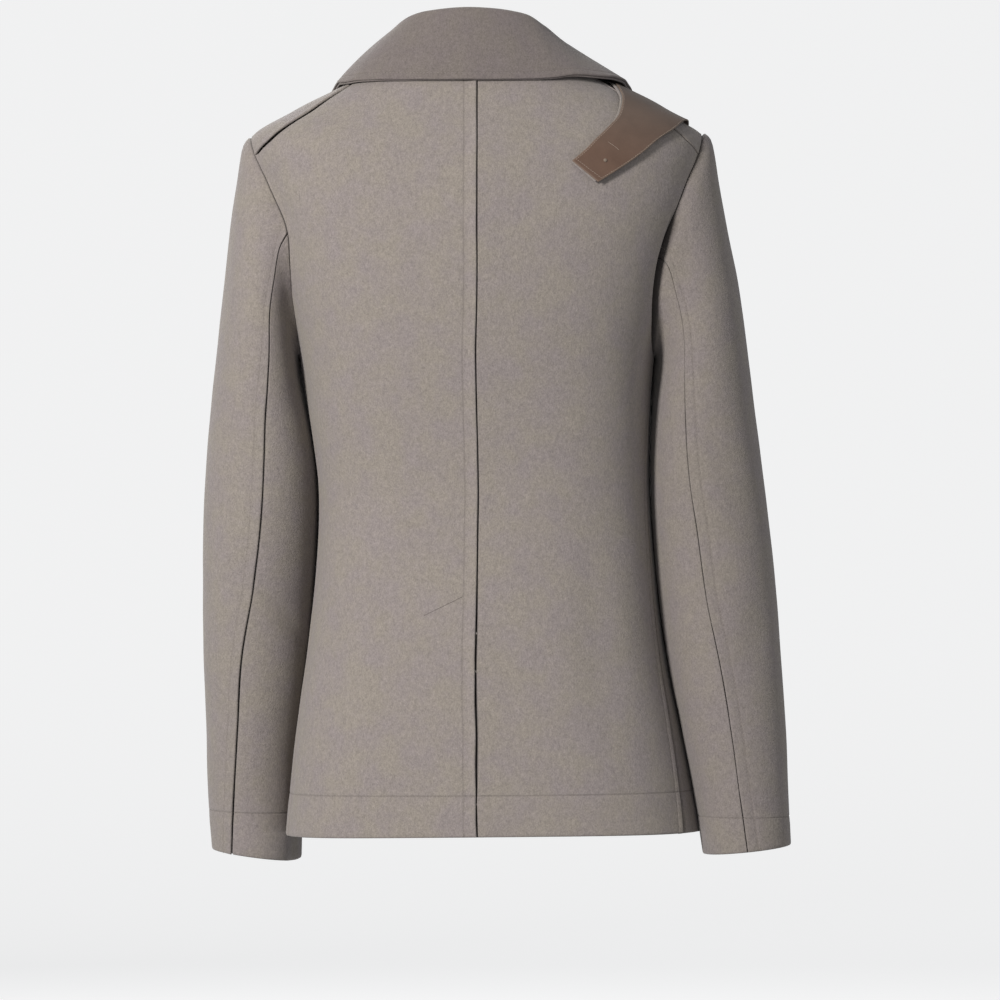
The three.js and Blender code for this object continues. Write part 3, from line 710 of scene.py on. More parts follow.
def back_panel(side):
    low = hem_rows()
    turns = np.concatenate([[177, 174, 170], np.arange(166, SHOULDER_TURN - 1, -2.5)])
    turns[-1] = SHOULDER_TURN
    hole_height, hole_angle = armhole(turns, side)
    high = mix(shoulder_height, NECK, np.linspace(0, 1, 45)[1:])
    heights = np.concatenate([low, hole_height, high])
    starts = np.concatenate(
        [
            follow(SIDE_SEAM, "height", word(side), low),
            hole_angle,
            follow(SHOULDER_SEAM, "height", "angle", high),
        ]
    )
    at_hole = np.concatenate([0 * low, 1 + 0 * turns, 0 * high]) > 0
    hole_turns = np.concatenate([180 + 0 * low, turns, SHOULDER_TURN + 0 * high])
    middles, normals, fars = [], [], []
    for height, start, hole, turn in zip(heights, starts, at_hole, hole_turns):
        step = np.linalg.norm(body(height, 90.5) - body(height, 89.5))
        open_vent = 1 - ease((height + 560) / 20)
        edge = waver(height, 0.12 + 0.28 * open_vent)
        end = 90 + (edge if side > 0 else LAP) / step
        line = body(height, sided(side, np.linspace(start, end, 60)))
        near_end = ALONG_SEAM if side > 0 else PAST_SEAM
        shares, from_start, from_end = place_columns(line, ALONG_EDGE, near_end, 30)
        angles = sided(side, mix(start, end, shares))
        rows_normals = body_normal(height + 0 * angles, angles)
        if hole:
            slant = armhole_normal(side, np.array([turn]))
            near = (1 - ease(from_start / 10))[:, None]
            rows_normals = rows_normals * (1 - near) + slant * near
        middles.append(body(height, angles))
        normals.append(rows_normals)
        if side < 0:
            from_end = from_end - LAP
        fars.append((from_start, from_end, height - HEM + 0 * from_start))
    middles, normals, fars = np.array(middles), np.array(normals), np.array(fars)
    is_low = (heights <= UNDERARM + 0.01)[:, None]
    is_high = (heights > shoulder_height + 0.01)[:, None]
    from_side = np.where(is_low, fars[:, 0], FAR)
    from_hole = np.where(at_hole[:, None], fars[:, 0], FAR)
    from_shoulder = np.where(is_high, fars[:, 0], FAR)
    from_middle, from_hem = fars[:, 1], fars[:, 2]
    # Each dive here also paints shade: the right armhole's fold and the shoulder seam,
    # widest on the left, are darkened where they are drawn in.
    fold = crevice(side, hole_turns)[:, None]
    dive, width = (4.4, 7.0) if side > 0 else (2.0, 1.8)
    edges = [
        (Edge(rise=0.9, stitch=EDGE_STITCH), from_side),
        (Edge(rise=0.5, over=5), from_hole),
        (Edge(dive=fold, width=6, round_off=0.6), from_hole),
        (Edge(dive=dive, width=width), from_shoulder),
        (TURNED_HEM, from_hem),
    ]
    if side > 0:
        edges.append((Edge(rise=1.7, stitch=LAP_STITCH), from_middle))
    else:
        # At the centre back the right back dives under the left one's edge, and is painted
        # dark there as shade, widest at the vent.
        gap = follow(VENT_GAP, "height", "wide", np.clip(heights, HEM, -420))[:, None]
        dark = Edge(dive=2.6 + 0.5 * gap, width=gap, round_off=0.01)
        edges += [(dark, from_middle), (Edge(), from_middle + LAP)]
    name = f"back_{word(side)}"
    piece = sew(name, middles, normals, WOOL, edges, hem_fullness(from_hem))
    return dress(piece, wool_material, "wool", name)


backs = [back_panel(1), back_panel(-1)]


# The vent's underlap: a strip that the right back is cut with, doubled and lying
# behind the left back's edge from the hem to just above the top of the vent.
VENT_TOP = -500
UNDERLAP_START, UNDERLAP_END = 92.2, 76  # angles of its two sides
BACK_DEGREE = 2.9  # length of one degree there

heights = np.linspace(HEM + 1.5, VENT_TOP, 60)
angles = np.linspace(UNDERLAP_START, UNDERLAP_END, 14)
height, angle = np.meshgrid(heights, angles, indexing="ij")
normals = body_normal(height, angle)
middles = body(height, angle) - normals * (WOOL + 1.6)
edges = [
    (Edge(), height - heights[0]),
    (Edge(), heights[-1] - height),
    (Edge(), (angle - UNDERLAP_END) * BACK_DEGREE),
    (Edge(), (UNDERLAP_START - angle) * BACK_DEGREE),
]
underlap = sew("vent_underlap", middles, normals, 2.2, edges, smooth=0.4)
dress(underlap, wool_material, "wool", "vent_underlap")


# The two fronts: double breasted, the wearer's right lapped over the left. Each
# is cut from side seam and armhole to its front edge, and its top turns back
# along the roll line as the lapel.
OVERLAP = 85  # of each front edge past the centre front
BREAK_POINT = -285
WRAP_LIFT = 4.8
NECK_END = -48


def find_place(x, z, middle=-90):
    """Height and angle of the places with these x and z, on the front or the back."""
    x, z = np.broadcast_arrays(np.asarray(x, float), np.asarray(z, float))
    height = z.copy()
    half = follow(RINGS, "height", "half", height)
    turned = np.degrees(np.arcsin(np.clip(x / half, -0.95, 0.95)))
    angle = middle - np.sign(middle) * turned
    for _ in range(14):
        here = body(height, angle)
        round_it = (body(height, angle + 0.1) - here) * 10
        up = (body(height + 0.1, angle) - here) * 10
        across, rise = x - here[..., 0], z - here[..., 2]
        scale = round_it[..., 0] * up[..., 2] - round_it[..., 2] * up[..., 0]
        angle = angle + (across * up[..., 2] - rise * up[..., 0]) / scale
        height = height + (round_it[..., 0] * rise - round_it[..., 2] * across) / scale
    return height, angle


neck_point = body(NECK, NECK_END)


def roll_line(share):
    return mix(-OVERLAP, neck_point[0], share), mix(BREAK_POINT, neck_point[2], share)


def wrap(side, points):
    """How far the right front rises where it lies on the left one."""
    if side > 0:
        return 0 * points[..., 0]
    across = ease((points[..., 0] + 145) / 35)
    return WRAP_LIFT * across * ease((-92 - points[..., 2]) / 40)


def front_angle(side, height):
    half = follow(RINGS, "height", "half", height)
    angle = -90 - np.degrees(np.arcsin(OVERLAP / half))
    for _ in range(10):
        here = body(height, sided(side, angle))[..., 0] * side
        after = body(height, sided(side, angle + 0.1))[..., 0] * side
        angle = angle + (-OVERLAP - here) / (after - here) * 0.1
    return angle


def front_panel(side):
    low = hem_rows()
    roll = np.linspace(0, 9, 55)[1:]
    to_end = [0.86, 0.72, 0.58, 0.44, 0.34, 0.25, 0.18, 0.13, 0.09, 0.06]
    to_end = np.array(to_end + [0.035, 0.015, 0])
    neck = np.concatenate([np.linspace(0, 4, 25)[1:], 5 - to_end])
    side_angle = follow(SIDE_SEAM, "height", word(side), low)
    roll_x, roll_z = roll_line(roll / 9)
    roll_height, roll_angle = find_place(side * roll_x, roll_z)
    roll_angle = sided(side, roll_angle)
    roll_angle = np.where(roll_angle > 180, roll_angle - 360, roll_angle)
    turns = np.concatenate([180 + 0 * low, 180 + 15 * roll, 315 + 15 * neck])
    hole_height, hole_angle = armhole(turns, side)
    is_low = turns == 180
    starts = np.where(is_low, np.concatenate([low, 0 * roll, 0 * neck]), hole_height)
    start_angles = np.where(
        is_low, np.concatenate([side_angle, 0 * roll, 0 * neck]), hole_angle
    )
    ends = np.concatenate([low, roll_height, NECK + 0 * neck])
    neck_angle = mix(NECK_END, NECK_SIDE, neck / 5)
    end_angles = np.concatenate([front_angle(side, low), roll_angle, neck_angle])
    bends = np.concatenate([0 * low, 0 * roll, (neck / 5) ** 2])
    middles, normals, from_start, from_end = [], [], [], []
    for start, first, end, last, bend, turn, lower in zip(
        starts, start_angles, ends, end_angles, bends, turns, is_low
    ):
        def row(share):
            height = mix(start, end, share)
            seam_height = mix(float(shoulder_height), NECK, share)
            seam = follow(SHOULDER_SEAM, "height", "angle", seam_height)
            straight = mix(float(shoulder_angle), NECK_SIDE, share)
            angle = mix(first, last, share) + bend * (seam - straight)
            return height, sided(side, angle)

        line = body(*row(np.linspace(0, 1, 70)))
        shares, near, far = place_columns(line, ALONG_EDGE, ALONG_EDGE, 34)
        height, angle = row(shares)
        point, normal = body(height, angle), body_normal(height, angle)
        point = point + normal * wrap(side, point)[:, None]
        if not lower:
            slant = armhole_normal(side, np.array([turn]))
            close = (1 - ease(near / 10))[:, None]
            normal = normal * (1 - close) + slant * close
        middles.append(point)
        normals.append(normal)
        from_start.append(near)
        from_end.append(far)
    middles, normals = np.array(middles), np.array(normals)
    from_start, from_end = np.array(from_start), np.array(from_end)
    lower = is_low[:, None]
    from_top = np.linalg.norm(middles - middles[-1], axis=-1)
    from_hem = np.where(lower, (starts - HEM)[:, None], FAR) + 0 * from_start
    # The side seam's dive also paints shade: a thin line on the left, and on the right a
    # band of about 6 mm painted dark for the shade between sleeve and body.
    dive, width = (1.6, 2.2) if side > 0 else (3.4, 5.5)
    edges = [
        (Edge(dive=dive, width=width), np.where(lower, from_start, FAR)),
        (Edge(rise=0.5, over=5), np.where(lower, FAR, from_start)),
        (Edge(stitch=EDGE_STITCH), np.where(lower, from_end, FAR)),
        (Edge(), np.where(lower, FAR, from_end)),
        (Edge(rise=0.7, over=6), from_top),
        (TURNED_HEM, from_hem),
    ]
    name = f"front_{word(side)}"
    piece = sew(name, middles, normals, WOOL, edges, hem_fullness(from_hem))
    return dress(piece, wool_material, "wool", name)


fronts = [front_panel(1), front_panel(-1)]


# The lapels: the fronts and their facings turned back along the roll line, and
# pressed softly. The left one is short, because the right front covers the rest.
ROLL_RADIUS, LAPEL_LIFT, LAPEL_CLOTH = 4.4, 4.8, 3.4
PEAK, GORGE = (142, -122), (92, -80)
LAPEL_STARTS = {1: (0.68, 42, -193, 7), -1: (0.02, -78, -280, 12)}


def lapel(side):
    first, start_x, start_z, low_rows = LAPEL_STARTS[side]
    total = low_rows + 4
    steps = np.linspace(0, total, 90)
    roll_x, roll_z = roll_line(mix(first, 0.985, steps / total))
    up = np.minimum(steps / low_rows, 1)
    back = np.maximum((steps - low_rows) / 4, 0)
    bow = 5 * np.sin(np.pi * up)
    edge_x = mix(mix(start_x, PEAK[0], up), GORGE[0], back) + bow * 0.6
    edge_z = mix(mix(start_z, PEAK[1], up), GORGE[1], back) - bow * 0.8

    def place(x, z):
        height, angle = find_place(side * x, z)
        point, normal = body(height, angle), body_normal(height, angle)
        return point + normal * wrap(side, point)[..., None], normal

    foot, foot_normal = place(roll_x, roll_z)
    beside, _ = place(mix(roll_x, edge_x, 0.02), mix(roll_z, edge_z, 0.02))
    out = unit(foot - beside)
    foot = foot + out * 0.6
    middles, normals = [], []
    for turn in np.linspace(0, 180, 13):
        c, s = cos(turn), sin(turn)
        rolled = foot_normal * ROLL_RADIUS * (1 - c) + out * ROLL_RADIUS * s
        middles.append(foot + rolled)
        normals.append(-foot_normal * c + out * s)
    shares = np.concatenate([np.linspace(0, 1, 30)[1:-1], [0.975, 0.985, 0.993, 1]])
    for share in shares:
        point, normal = place(mix(roll_x, edge_x, share), mix(roll_z, edge_z, share))
        lift = mix(2 * ROLL_RADIUS, LAPEL_LIFT, ease(share * 1.4))
        middles.append(point + normal * lift)
        normals.append(normal)
    middles = np.array(middles).transpose(1, 0, 2)
    normals = np.array(normals).transpose(1, 0, 2)
    from_edge = np.linalg.norm(middles - middles[:, -1:], axis=-1)
    from_edge[:, :20] = FAR
    from_top = np.linalg.norm(middles - middles[-1:], axis=-1)
    from_low = np.linalg.norm(middles - middles[:1], axis=-1)
    edges = [(Edge(stitch=EDGE_STITCH, round_off=1.4), from_edge)]
    edges += [(Edge(round_off=1.4), from_top), (Edge(round_off=1.4), from_low)]
    name = f"lapel_{word(side)}"
    piece = sew(name, middles, normals, LAPEL_CLOTH, edges, smooth=0.5)
    return dress(piece, wool_material, "wool", name)


lapels = [lapel(1), lapel(-1)]


# The sleeves, each of a top sleeve lapped and topstitched over an under sleeve at
# the back seam, with a turned up and stitched cuff edge.
SLEEVE = 648
SLEEVE_STITCH, SLEEVE_LAP = 9.4, 7
FRONT_SEAM = 255


def sleeve_rows():
    top = [0, 0.4, 0.9, 1.5, 2.2, 3, 4.5, 7, 10]
    middle = np.linspace(14, SLEEVE - 42, 118)
    groove = SLEEVE - HEM_DEPTH + np.array([-2, -1.2, -0.8, -0.4, 0, 0.4, 0.8, 1.2, 2])
    cuff = np.linspace(SLEEVE - 30, SLEEVE - 8, 6)
    edge = SLEEVE - np.array([5, 3, 1.8, 1.1, 0.6, 0.25, 0])
    return np.concatenate([top, middle, groove, cuff, edge])


def press(side, points, along, turns):
    """Moves the inner front of a sleeve against the body that it rests on."""
    y, z = points[..., 1], points[..., 2]
    height, angle = z.copy(), np.degrees(np.arcsin(np.clip(y / 125, -0.9, 0.9)))
    for _ in range(8):
        here = body(height, sided(side, angle))
        round_it = (body(height, sided(side, angle + 0.1)) - here) * 10
        up = (body(height + 0.1, sided(side, angle)) - here) * 10
        back, rise = y - here[..., 1], z - here[..., 2]
        scale = round_it[..., 1] * up[..., 2] - round_it[..., 2] * up[..., 1]
        angle = angle + (back * up[..., 2] - rise * up[..., 1]) / scale
        height = height + (round_it[..., 1] * rise - round_it[..., 2] * back) / scale
        angle, height = np.clip(angle, -70, 70), np.clip(height, -760, -120)
    beside = body(height, sided(side, angle))[..., 0] * side
    room = points[..., 0] * side - beside - WOOL - 1.2
    close = ease((along - 45) / 40) * (1 - ease((along - 460) / 70))
    wanted = (14 if side > 0 else 18 + 60 * close) * ease((along - 20) / 40)
    wanted = wanted * np.exp(-(((turns - 217) / 25) ** 2))
    inner = ease((turns - 125) / 20) * (1 - ease((turns - 230) / 22))
    inner = inner * ease((along - 15) / 25)
    free = np.maximum(room, 0.01)
    push = free * (1 - np.exp(-wanted / free)) + np.minimum(room, 0)
    moved = points.copy()
    moved[..., 0] -= side * push * inner
    return moved


def sleeve_panel(side, is_top):
    rows = sleeve_rows()
    last = FRONT_SEAM - 360 if is_top else FRONT_SEAM
    middles, normals, from_seam, from_front, all_turns = [], [], [], [], []
    for along in rows:
        seam = float(follow(ARMS[side], "along", "seam", along))
        step = sleeve(side, along, seam + 0.5) - sleeve(side, along, seam - 0.5)
        past = waver(along, 0.12) if is_top else -SLEEVE_LAP
        first = seam + past / np.linalg.norm(step)
        line = sleeve(side, along, np.linspace(first, last, 70))
        near = ALONG_SEAM if is_top else np.array(PAST_SEAM) * SLEEVE_LAP / LAP
        shares, near, far = place_columns(line, near, ALONG_EDGE, 30)
        turns = mix(first, last, shares)
        point = press(side, sleeve(side, along + 0 * turns, turns), along, turns)
        normal = sleeve_normal(side, along + 0 * turns, turns)
        close = 1 - ease(along / 10)
        if close > 0:
            normal = normal * (1 - close) + armhole_normal(side, turns) * close
        middles.append(point)
        normals.append(normal)
        from_seam.append(near if is_top else near - SLEEVE_LAP)
        from_front.append(far)
        all_turns.append(turns)
    middles, normals = np.array(middles), np.array(normals)
    from_seam, from_front = np.array(from_seam), np.array(from_front)
    from_top = rows[:, None] + 0 * from_seam
    from_cuff = SLEEVE - from_top
    all_turns = np.array(all_turns)
    # Each dive also paints shade: along the armhole seam, in the right armhole's fold,
    # faintly along the front seam, and along the back seam under the lapped top sleeve.
    edges = [
        (Edge(dive=seam_dip(side, all_turns), width=1.9), from_top),
        (Edge(dive=crevice(side, all_turns), width=13, round_off=0.6), from_top),
        (TURNED_HEM, from_cuff),
        (Edge(dive=0.5, width=1.2, round_off=0.01), from_front),
    ]
    if is_top:
        rise, cut = (0.8, 0.08) if side > 0 else (1.0, 0.38)
        edges.append((Edge(rise=rise, stitch=SLEEVE_STITCH, cut=cut), from_seam))
    else:
        depth, wide = (2.8, 2.0) if side > 0 else (1.9, 0.9)
        edges.append((Edge(dive=depth, width=wide, round_off=0.01), from_seam))
        edges.append((Edge(), from_seam + SLEEVE_LAP))
    name = f"{'top' if is_top else 'under'}_sleeve_{word(side)}"
    piece = sew(name, middles, normals, WOOL, edges, hem_fullness(from_cuff))
    # The right sleeve's pieces take the darker copy of the melton, painted shade.
    return dress(piece, wool_material if side > 0 else shaded_sleeve_material, "wool", name)


sleeves = [sleeve_panel(side, is_top) for side in (1, -1) for is_top in (True, False)]


# The collar, of two layers sewn at their edges: it stands on the neck seam, rolls
# over and falls as a wide leaf, topstitched along its edge. On the wearer's right
# it stands off the shoulder, because the throat tab comes out from under it.
FOLD_RADIUS, COLLAR_CLOTH, COLLAR_STITCH = 3.9, 2.0, 6
COLLAR_NAMES = "angle top leafAngle leafHeight lift belly"
COLLAR_LEFT = table(
    COLLAR_NAMES,
    [
        [-48, -40, -46, -86, 6, 1],
        [-30, -16, -30, -61, 5, 1],
        [0, 0.5, -3, -41, 4.6, 1.5],
        [25, 5.5, 27, -43, 4.6, 2],
        [45, 13.5, 51, -45, 4.6, 2],
        [60, 17, 64, -46, 4.6, 2],
        [90, 19.5, 90, -47, 4.6, 2],
        [120, 14.5, 116, -46, 5, 1.5],
    ],
)
COLLAR_RIGHT = table(
    COLLAR_NAMES,
    [
        [-48, -40, -46, -86, 7, 0],
        [-30, -22, -30, -64, 9.2, 0],
        [0, -7.5, -3, -46, 9.2, 0],
        [25, -4, 28, -44, 9.5, 0],
        [45, 6, 52, -43, 8, 0.5],
        [60, 14.5, 64, -45, 5, 1.5],
        [90, 19.5, 90, -47, 4.6, 2],
        [120, 17, 116, -46, 4.6, 2],
    ],
)


def collar_line(angle):
    """The collar's middle surface from neck seam to leaf edge, at one angle."""
    side = -1 if angle > 90 else 1
    rows = COLLAR_RIGHT if side < 0 else COLLAR_LEFT
    shape = follow_all(rows, "angle", sided(side, angle))
    up = np.array([0, 0, 1.0])
    foot = body(NECK, angle) + up * (WOOL / 2 + 0.6)
    leaf_angle = sided(side, shape["leafAngle"])
    edge_normal = body_normal(shape["leafHeight"], leaf_angle)
    wave = 0.5 * np.sin(angle / 6.1) + 0.35 * np.sin(angle / 2.7 + 1)
    edge = body(shape["leafHeight"], leaf_angle)
    edge = edge + edge_normal * (shape["lift"] + 0.6 * wave)
    out = unit((edge - foot) * np.array([1, 1, 0]))
    centre = foot + out * (FOLD_RADIUS + 2)
    centre[2] = shape["top"] - FOLD_RADIUS
    reach = edge - centre
    flat, high = reach @ out, reach[2]
    last = np.arctan2(high, flat) + np.arccos(FOLD_RADIUS / np.hypot(flat, high))

    def arc(turn):
        return np.cos(turn)[:, None] * out + np.sin(turn)[:, None] * up

    turns = np.linspace(np.pi, last, 14)
    facing = arc(turns)
    fold = centre + facing * FOLD_RADIUS
    stand = np.linspace(foot, fold[0], 8)[:-1]
    long = np.linalg.norm(edge - fold[-1])
    past = [8.5, 7.4, 6.8, 6.4, 6, 5.6, 5.2, 4.2, 3, 1.8, 1, 0.5, 0.2, 0]
    shares = np.concatenate([np.linspace(0, long - 10, 14)[1:], long - np.array(past)])
    shares = shares / long
    leaf = mix(fold[-1], edge, shares[:, None])
    leaf = leaf + facing[-1] * (shape["belly"] * np.sin(np.pi * shares))[:, None]
    points = np.concatenate([stand, fold, leaf])
    before = np.repeat(facing[:1], len(stand), axis=0)
    after = np.repeat(facing[-1:], len(leaf), axis=0)
    normals = np.concatenate([before, facing, after])
    inside = np.full(len(stand) + len(fold), FAR)
    return points, normals, np.concatenate([inside, long * (1 - shares)])


def collar_layer(name, face):
    angles = np.concatenate([[-48, -47.8, -47.5, -47], np.linspace(-46, 226, 250)])
    angles = np.concatenate([angles, [227, 227.5, 227.8, 228]])
    lines = [collar_line(angle) for angle in angles]
    middles = np.array([line[0] for line in lines])
    normals = np.array([line[1] for line in lines])
    from_leaf = np.array([line[2] for line in lines])
    middles = middles + normals * face * (COLLAR_CLOTH + 0.3) / 2
    from_ends = np.minimum(
        np.linalg.norm(middles - middles[0], axis=-1),
        np.linalg.norm(middles - middles[-1], axis=-1),
    )
    finish = Edge(stitch=COLLAR_STITCH if face > 0 else None, round_off=1.2)
    edges = [(finish, from_leaf), (finish, from_ends)]
    piece = sew(name, middles, normals, COLLAR_CLOTH, edges, smooth=0.5)
    return dress(piece, collar_material, "wool", name)


collars = [collar_layer("upper_collar", 1), collar_layer("under_collar", -1)]


# The throat tab: a shaped strap of wool faced with leather, buttoned under the
# collar at the front and thrown back over the right shoulder. The leather is
# edge stitched, and a buttonhole is cut across it near the tip.
TAB_ROWS = table(
    "row innerHeight innerAngle outerHeight outerAngle lift",
    [
        [0, -119, 112, -137, 119.5, 3.7],
        [1, -110, 115, -125, 125, 3.6],
        [2, -100, 118.5, -112, 131.5, 3.5],
        [3, -90, 124, -102, 138, 3.4],
        [4, -80, 131, -95, 148, 3.3],
        [5, -64, 141, -90, 158.5, 3.6],
        [6, -50, 151, -88, 170, 3.2],
        [7, -39, 166, -88, 183, 3.2],
        [8, -39, 183, -92, 196, 3.2],
        [9, -47, 198, -98, 207, 3.2],
        [10, -57, 208, -98, 214, 3.2],
    ],
)
TAB_WOOL, TAB_LEATHER = 2.0, 1.3


def tab_place(at, share):
    """Place on the tab's middle surface, by its rows and across them."""
    at, share = np.broadcast_arrays(np.asarray(at, float), np.asarray(share, float))
    row = follow_all(TAB_ROWS, "row", at)
    height = mix(row["innerHeight"], row["outerHeight"], share)
    angle = mix(row["innerAngle"], row["outerAngle"], share)
    normal = body_normal(height, angle)
    off = 1.3 * share**2 * (1 - ease((at - 4.8) / 2))
    return body(height, angle) + normal * (row["lift"] + off)[..., None], normal


def tab_layer(name, thick, raised, first, inner, outer, material, slot):
    """One layer of the tab. inner gives its inner edge's share at each row."""
    ends = np.array([0, 0.02, 0.045, 0.08, 0.13, 0.2, 0.3])
    rows = np.concatenate([ends, np.linspace(0.4, 9.6, 116), 10 - ends[::-1]])
    rows = first + rows * (10 - first) / 10
    sides = np.array([0, 0.006, 0.014, 0.025, 0.04, 0.06, 0.09])
    across = np.concatenate([sides, np.linspace(0.13, 0.87, 18), 1 - sides[::-1]])
    at, share = np.meshgrid(rows, across, indexing="ij")
    share = mix(inner(at), outer, share)
    middles, normals = tab_place(at, share)
    middles = middles + normals * raised
    far = [
        np.linalg.norm(middles - middles[:, :1], axis=-1),
        np.linalg.norm(middles - middles[:, -1:], axis=-1),
        np.linalg.norm(middles - middles[:1], axis=-1),
        np.linalg.norm(middles - middles[-1:], axis=-1),
    ]
    edges = [(Edge(round_off=0.9), one) for one in far]
    piece = sew(name, middles, normals, thick, edges, smooth=0.4)
    nearest = np.minimum.reduce(far)
    add_values(piece, "from_edge", np.stack([nearest, nearest]))
    add_values(piece, "from_tip", np.stack([at, at]))
    return dress(piece, material, slot, name)


def smooth_leather():
    """Brown leather, redder towards the tip, with a fine grain and paler edges."""
    material, shade, shader = new_material("brown_leather")
    place = shade.node("TexCoord", output=3)
    clouds = shade.noise(place, 60, 3, 0.6)
    grain = shade.noise(place, 900, 3, 0.6)
    cells = shade.node("TexVoronoi", None, {"Vector": place, "Scale": 1100}, 0)
    along = shade.spread(shade.values("from_tip"), 1.2, 6.0)
    colour = shade.tint(along, (0.100, 0.057, 0.038, 1), (0.125, 0.093, 0.074, 1))
    colour = shade.light(colour, 0.72 + 0.4 * clouds + 0.16 * grain)
    worn = shade.spread(shade.values("from_edge"), 0.2, 1.6, 0.4, 0.0)
    colour = shade.tint(worn, colour, (0.22, 0.165, 0.125, 1))
    rough = 0.5 + 0.2 * clouds
    finish_material(shade, shader, colour, 0.6 * cells + 0.5 * grain, 0.3, 0.0002, rough)
    shader.inputs["Specular IOR Level"].default_value = 0.4
    return material


leather_material = smooth_leather()
raised = (TAB_WOOL + TAB_LEATHER) / 2 + 0.1
tab_wool = tab_layer(
    "tab_wool",
    TAB_WOOL,
    0,
    -0.06,
    lambda at: 0.015 - 0.045 * ease((at - 2.6) / 1.4),
    0.94,
    wool_material,
    "wool",
)
tab_leather = tab_layer(
    "tab_leather", TAB_LEATHER, raised, 0, lambda at: 0 * at, 1, leather_material, "leather"
)


# The topstitching: strong thread in the wool's own colour, 3 mm to the stitch, bedded
# into the nap along hem, cuffs, seams, vent, fronts, lapels and collar. Two slanting
# rows hold the underlap at the head and the foot of the vent, in thread painted dark
# as the shade of the groove they lie in.
bpy.ops.object.select_all(action="DESELECT")
bpy.ops.mesh.primitive_uv_sphere_add(segments=6, ring_count=5, radius=0.0005)
one_stitch = bpy.context.object
one_stitch.name = "one_stitch"
bpy.ops.object.mode_set(mode="EDIT")
bpy.ops.mesh.select_all(action="SELECT")
bpy.ops.transform.rotate(value=np.pi / 2, orient_axis="Y", center_override=(0, 0, 0))
bpy.ops.transform.resize(value=(2.6, 0.5, 0.42), center_override=(0, 0, 0))
bpy.ops.object.mode_set(mode="OBJECT")
stitch_points = np.array([vert.co for vert in one_stitch.data.vertices])
stitch_faces = [list(face.vertices) for face in one_stitch.data.polygons]
bpy.data.objects.remove(one_stitch)


def sample(values, along, at):
    return np.stack([np.interp(at, along, values[:, i]) for i in range(3)], -1)


def stitches(name, runs, material, slot, pitch=3.1, scale=1.0):
    """Copies of the one stitch along runs, each of points and their normals in mm."""
    points, faces, count = [], [], 0
    for places, normals in runs:
        along = distances(places)
        number = max(int(along[-1] / pitch), 1)
        at = (np.arange(number) + 0.5) * along[-1] / number
        middle = sample(places, along, at)
        ahead = unit(sample(places, along, at + 0.5) - sample(places, along, at - 0.5))
        beside = unit(np.cross(unit(sample(normals, along, at)), ahead))
        for place, x, y, z in zip(middle, ahead, beside, np.cross(ahead, beside)):
            turned = stitch_points @ np.array([x, y, z]) * scale
            points.append(place / 1000 + turned)
            faces += [[i + count for i in face] for face in stitch_faces]
            count += len(stitch_points)
    return dress(add_mesh(name, np.concatenate(points), faces), material, slot)


def thread(name, colour):
    material, shade, shader = new_material(name)
    place = shade.node("TexCoord", output=3)
    twist = shade.noise(place, 2500, 2, 0.6)
    shine = shade.noise(place, 150, 2, 0.5)
    fibre = shade.light((*colour, 1), 0.7 + 0.35 * twist + 0.2 * shine)
    finish_material(shade, shader, fibre, twist, 0.4, 0.0002)
    shader.inputs["Roughness"].default_value = 0.8
    return material


wool_thread = thread("wool_coloured_thread", (0.215, 0.185, 0.165))
leather_thread = thread("leather_thread", (0.33, 0.27, 0.22))


def bedded(line):
    """A run of stitches drawn a little into the cloth."""
    places, ups = line
    return places - ups * 0.02, ups


def back_run(*corners):
    """A straight run on the left back between places given by x and z."""
    legs = []
    for (x1, z1), (x2, z2) in zip(corners[:-1], corners[1:]):
        steps = np.linspace(0, 1, 20)
        height, angle = find_place(mix(x1, x2, steps), mix(z1, z2, steps), 90)
        point, normal = body(height, angle), body_normal(height, angle)
        lift = undulate(point) + WOOL / 2 + 0.08
        legs.append((point + normal * lift[:, None], normal))
    return tuple(np.concatenate(parts) for parts in zip(*legs))


sewn_groups = {
    "back": ["back_left", "back_right"],
    "front": ["front_left", "front_right"],
    "lapel": ["lapel_left", "lapel_right"],
    "sleeve": [
        "top_sleeve_left",
        "under_sleeve_left",
        "top_sleeve_right",
        "under_sleeve_right",
    ],
    "collar": ["upper_collar"],
}
for group, names in sewn_groups.items():
    runs = [bedded(line) for name in names for line in thread_lines[name]]
    stitches(f"{group}_stitching", runs, wool_thread, "wool")
bars = [
    back_run((45.9, -517.8), (11.8, -501.2)),
    back_run((29.4, -702.7), (6.7, -684.1)),
]
# Painted shade: this thread is darker than the wool, for the shade of the groove its rows
# lie in.
bar_thread = thread("bar_thread_painted_shade", (0.105, 0.088, 0.076))
stitches("vent_bar_stitching", bars, bar_thread, "wool", pitch=2.5)

# Bar tacks: a few close stitches across the vent, which hold its two sides.
tacks = []
for z in (-533.3, -566.5, -682):
    for step in (-0.6, 0.0, 0.6):
        height, angle = find_place(np.linspace(-4.4, 3.4, 6), z + step, 90)
        point, normal = body(height, angle), body_normal(height, angle)
        rise = 1.7 * ease((point[:, 0] + 3) / 5)
        tacks.append((point + normal * (WOOL / 2 + 0.1 + rise)[:, None], normal))
tack_thread = thread("pale_tack_thread", (0.30, 0.265, 0.24))
stitches("vent_tacks", tacks, tack_thread, "wool", pitch=2.6)

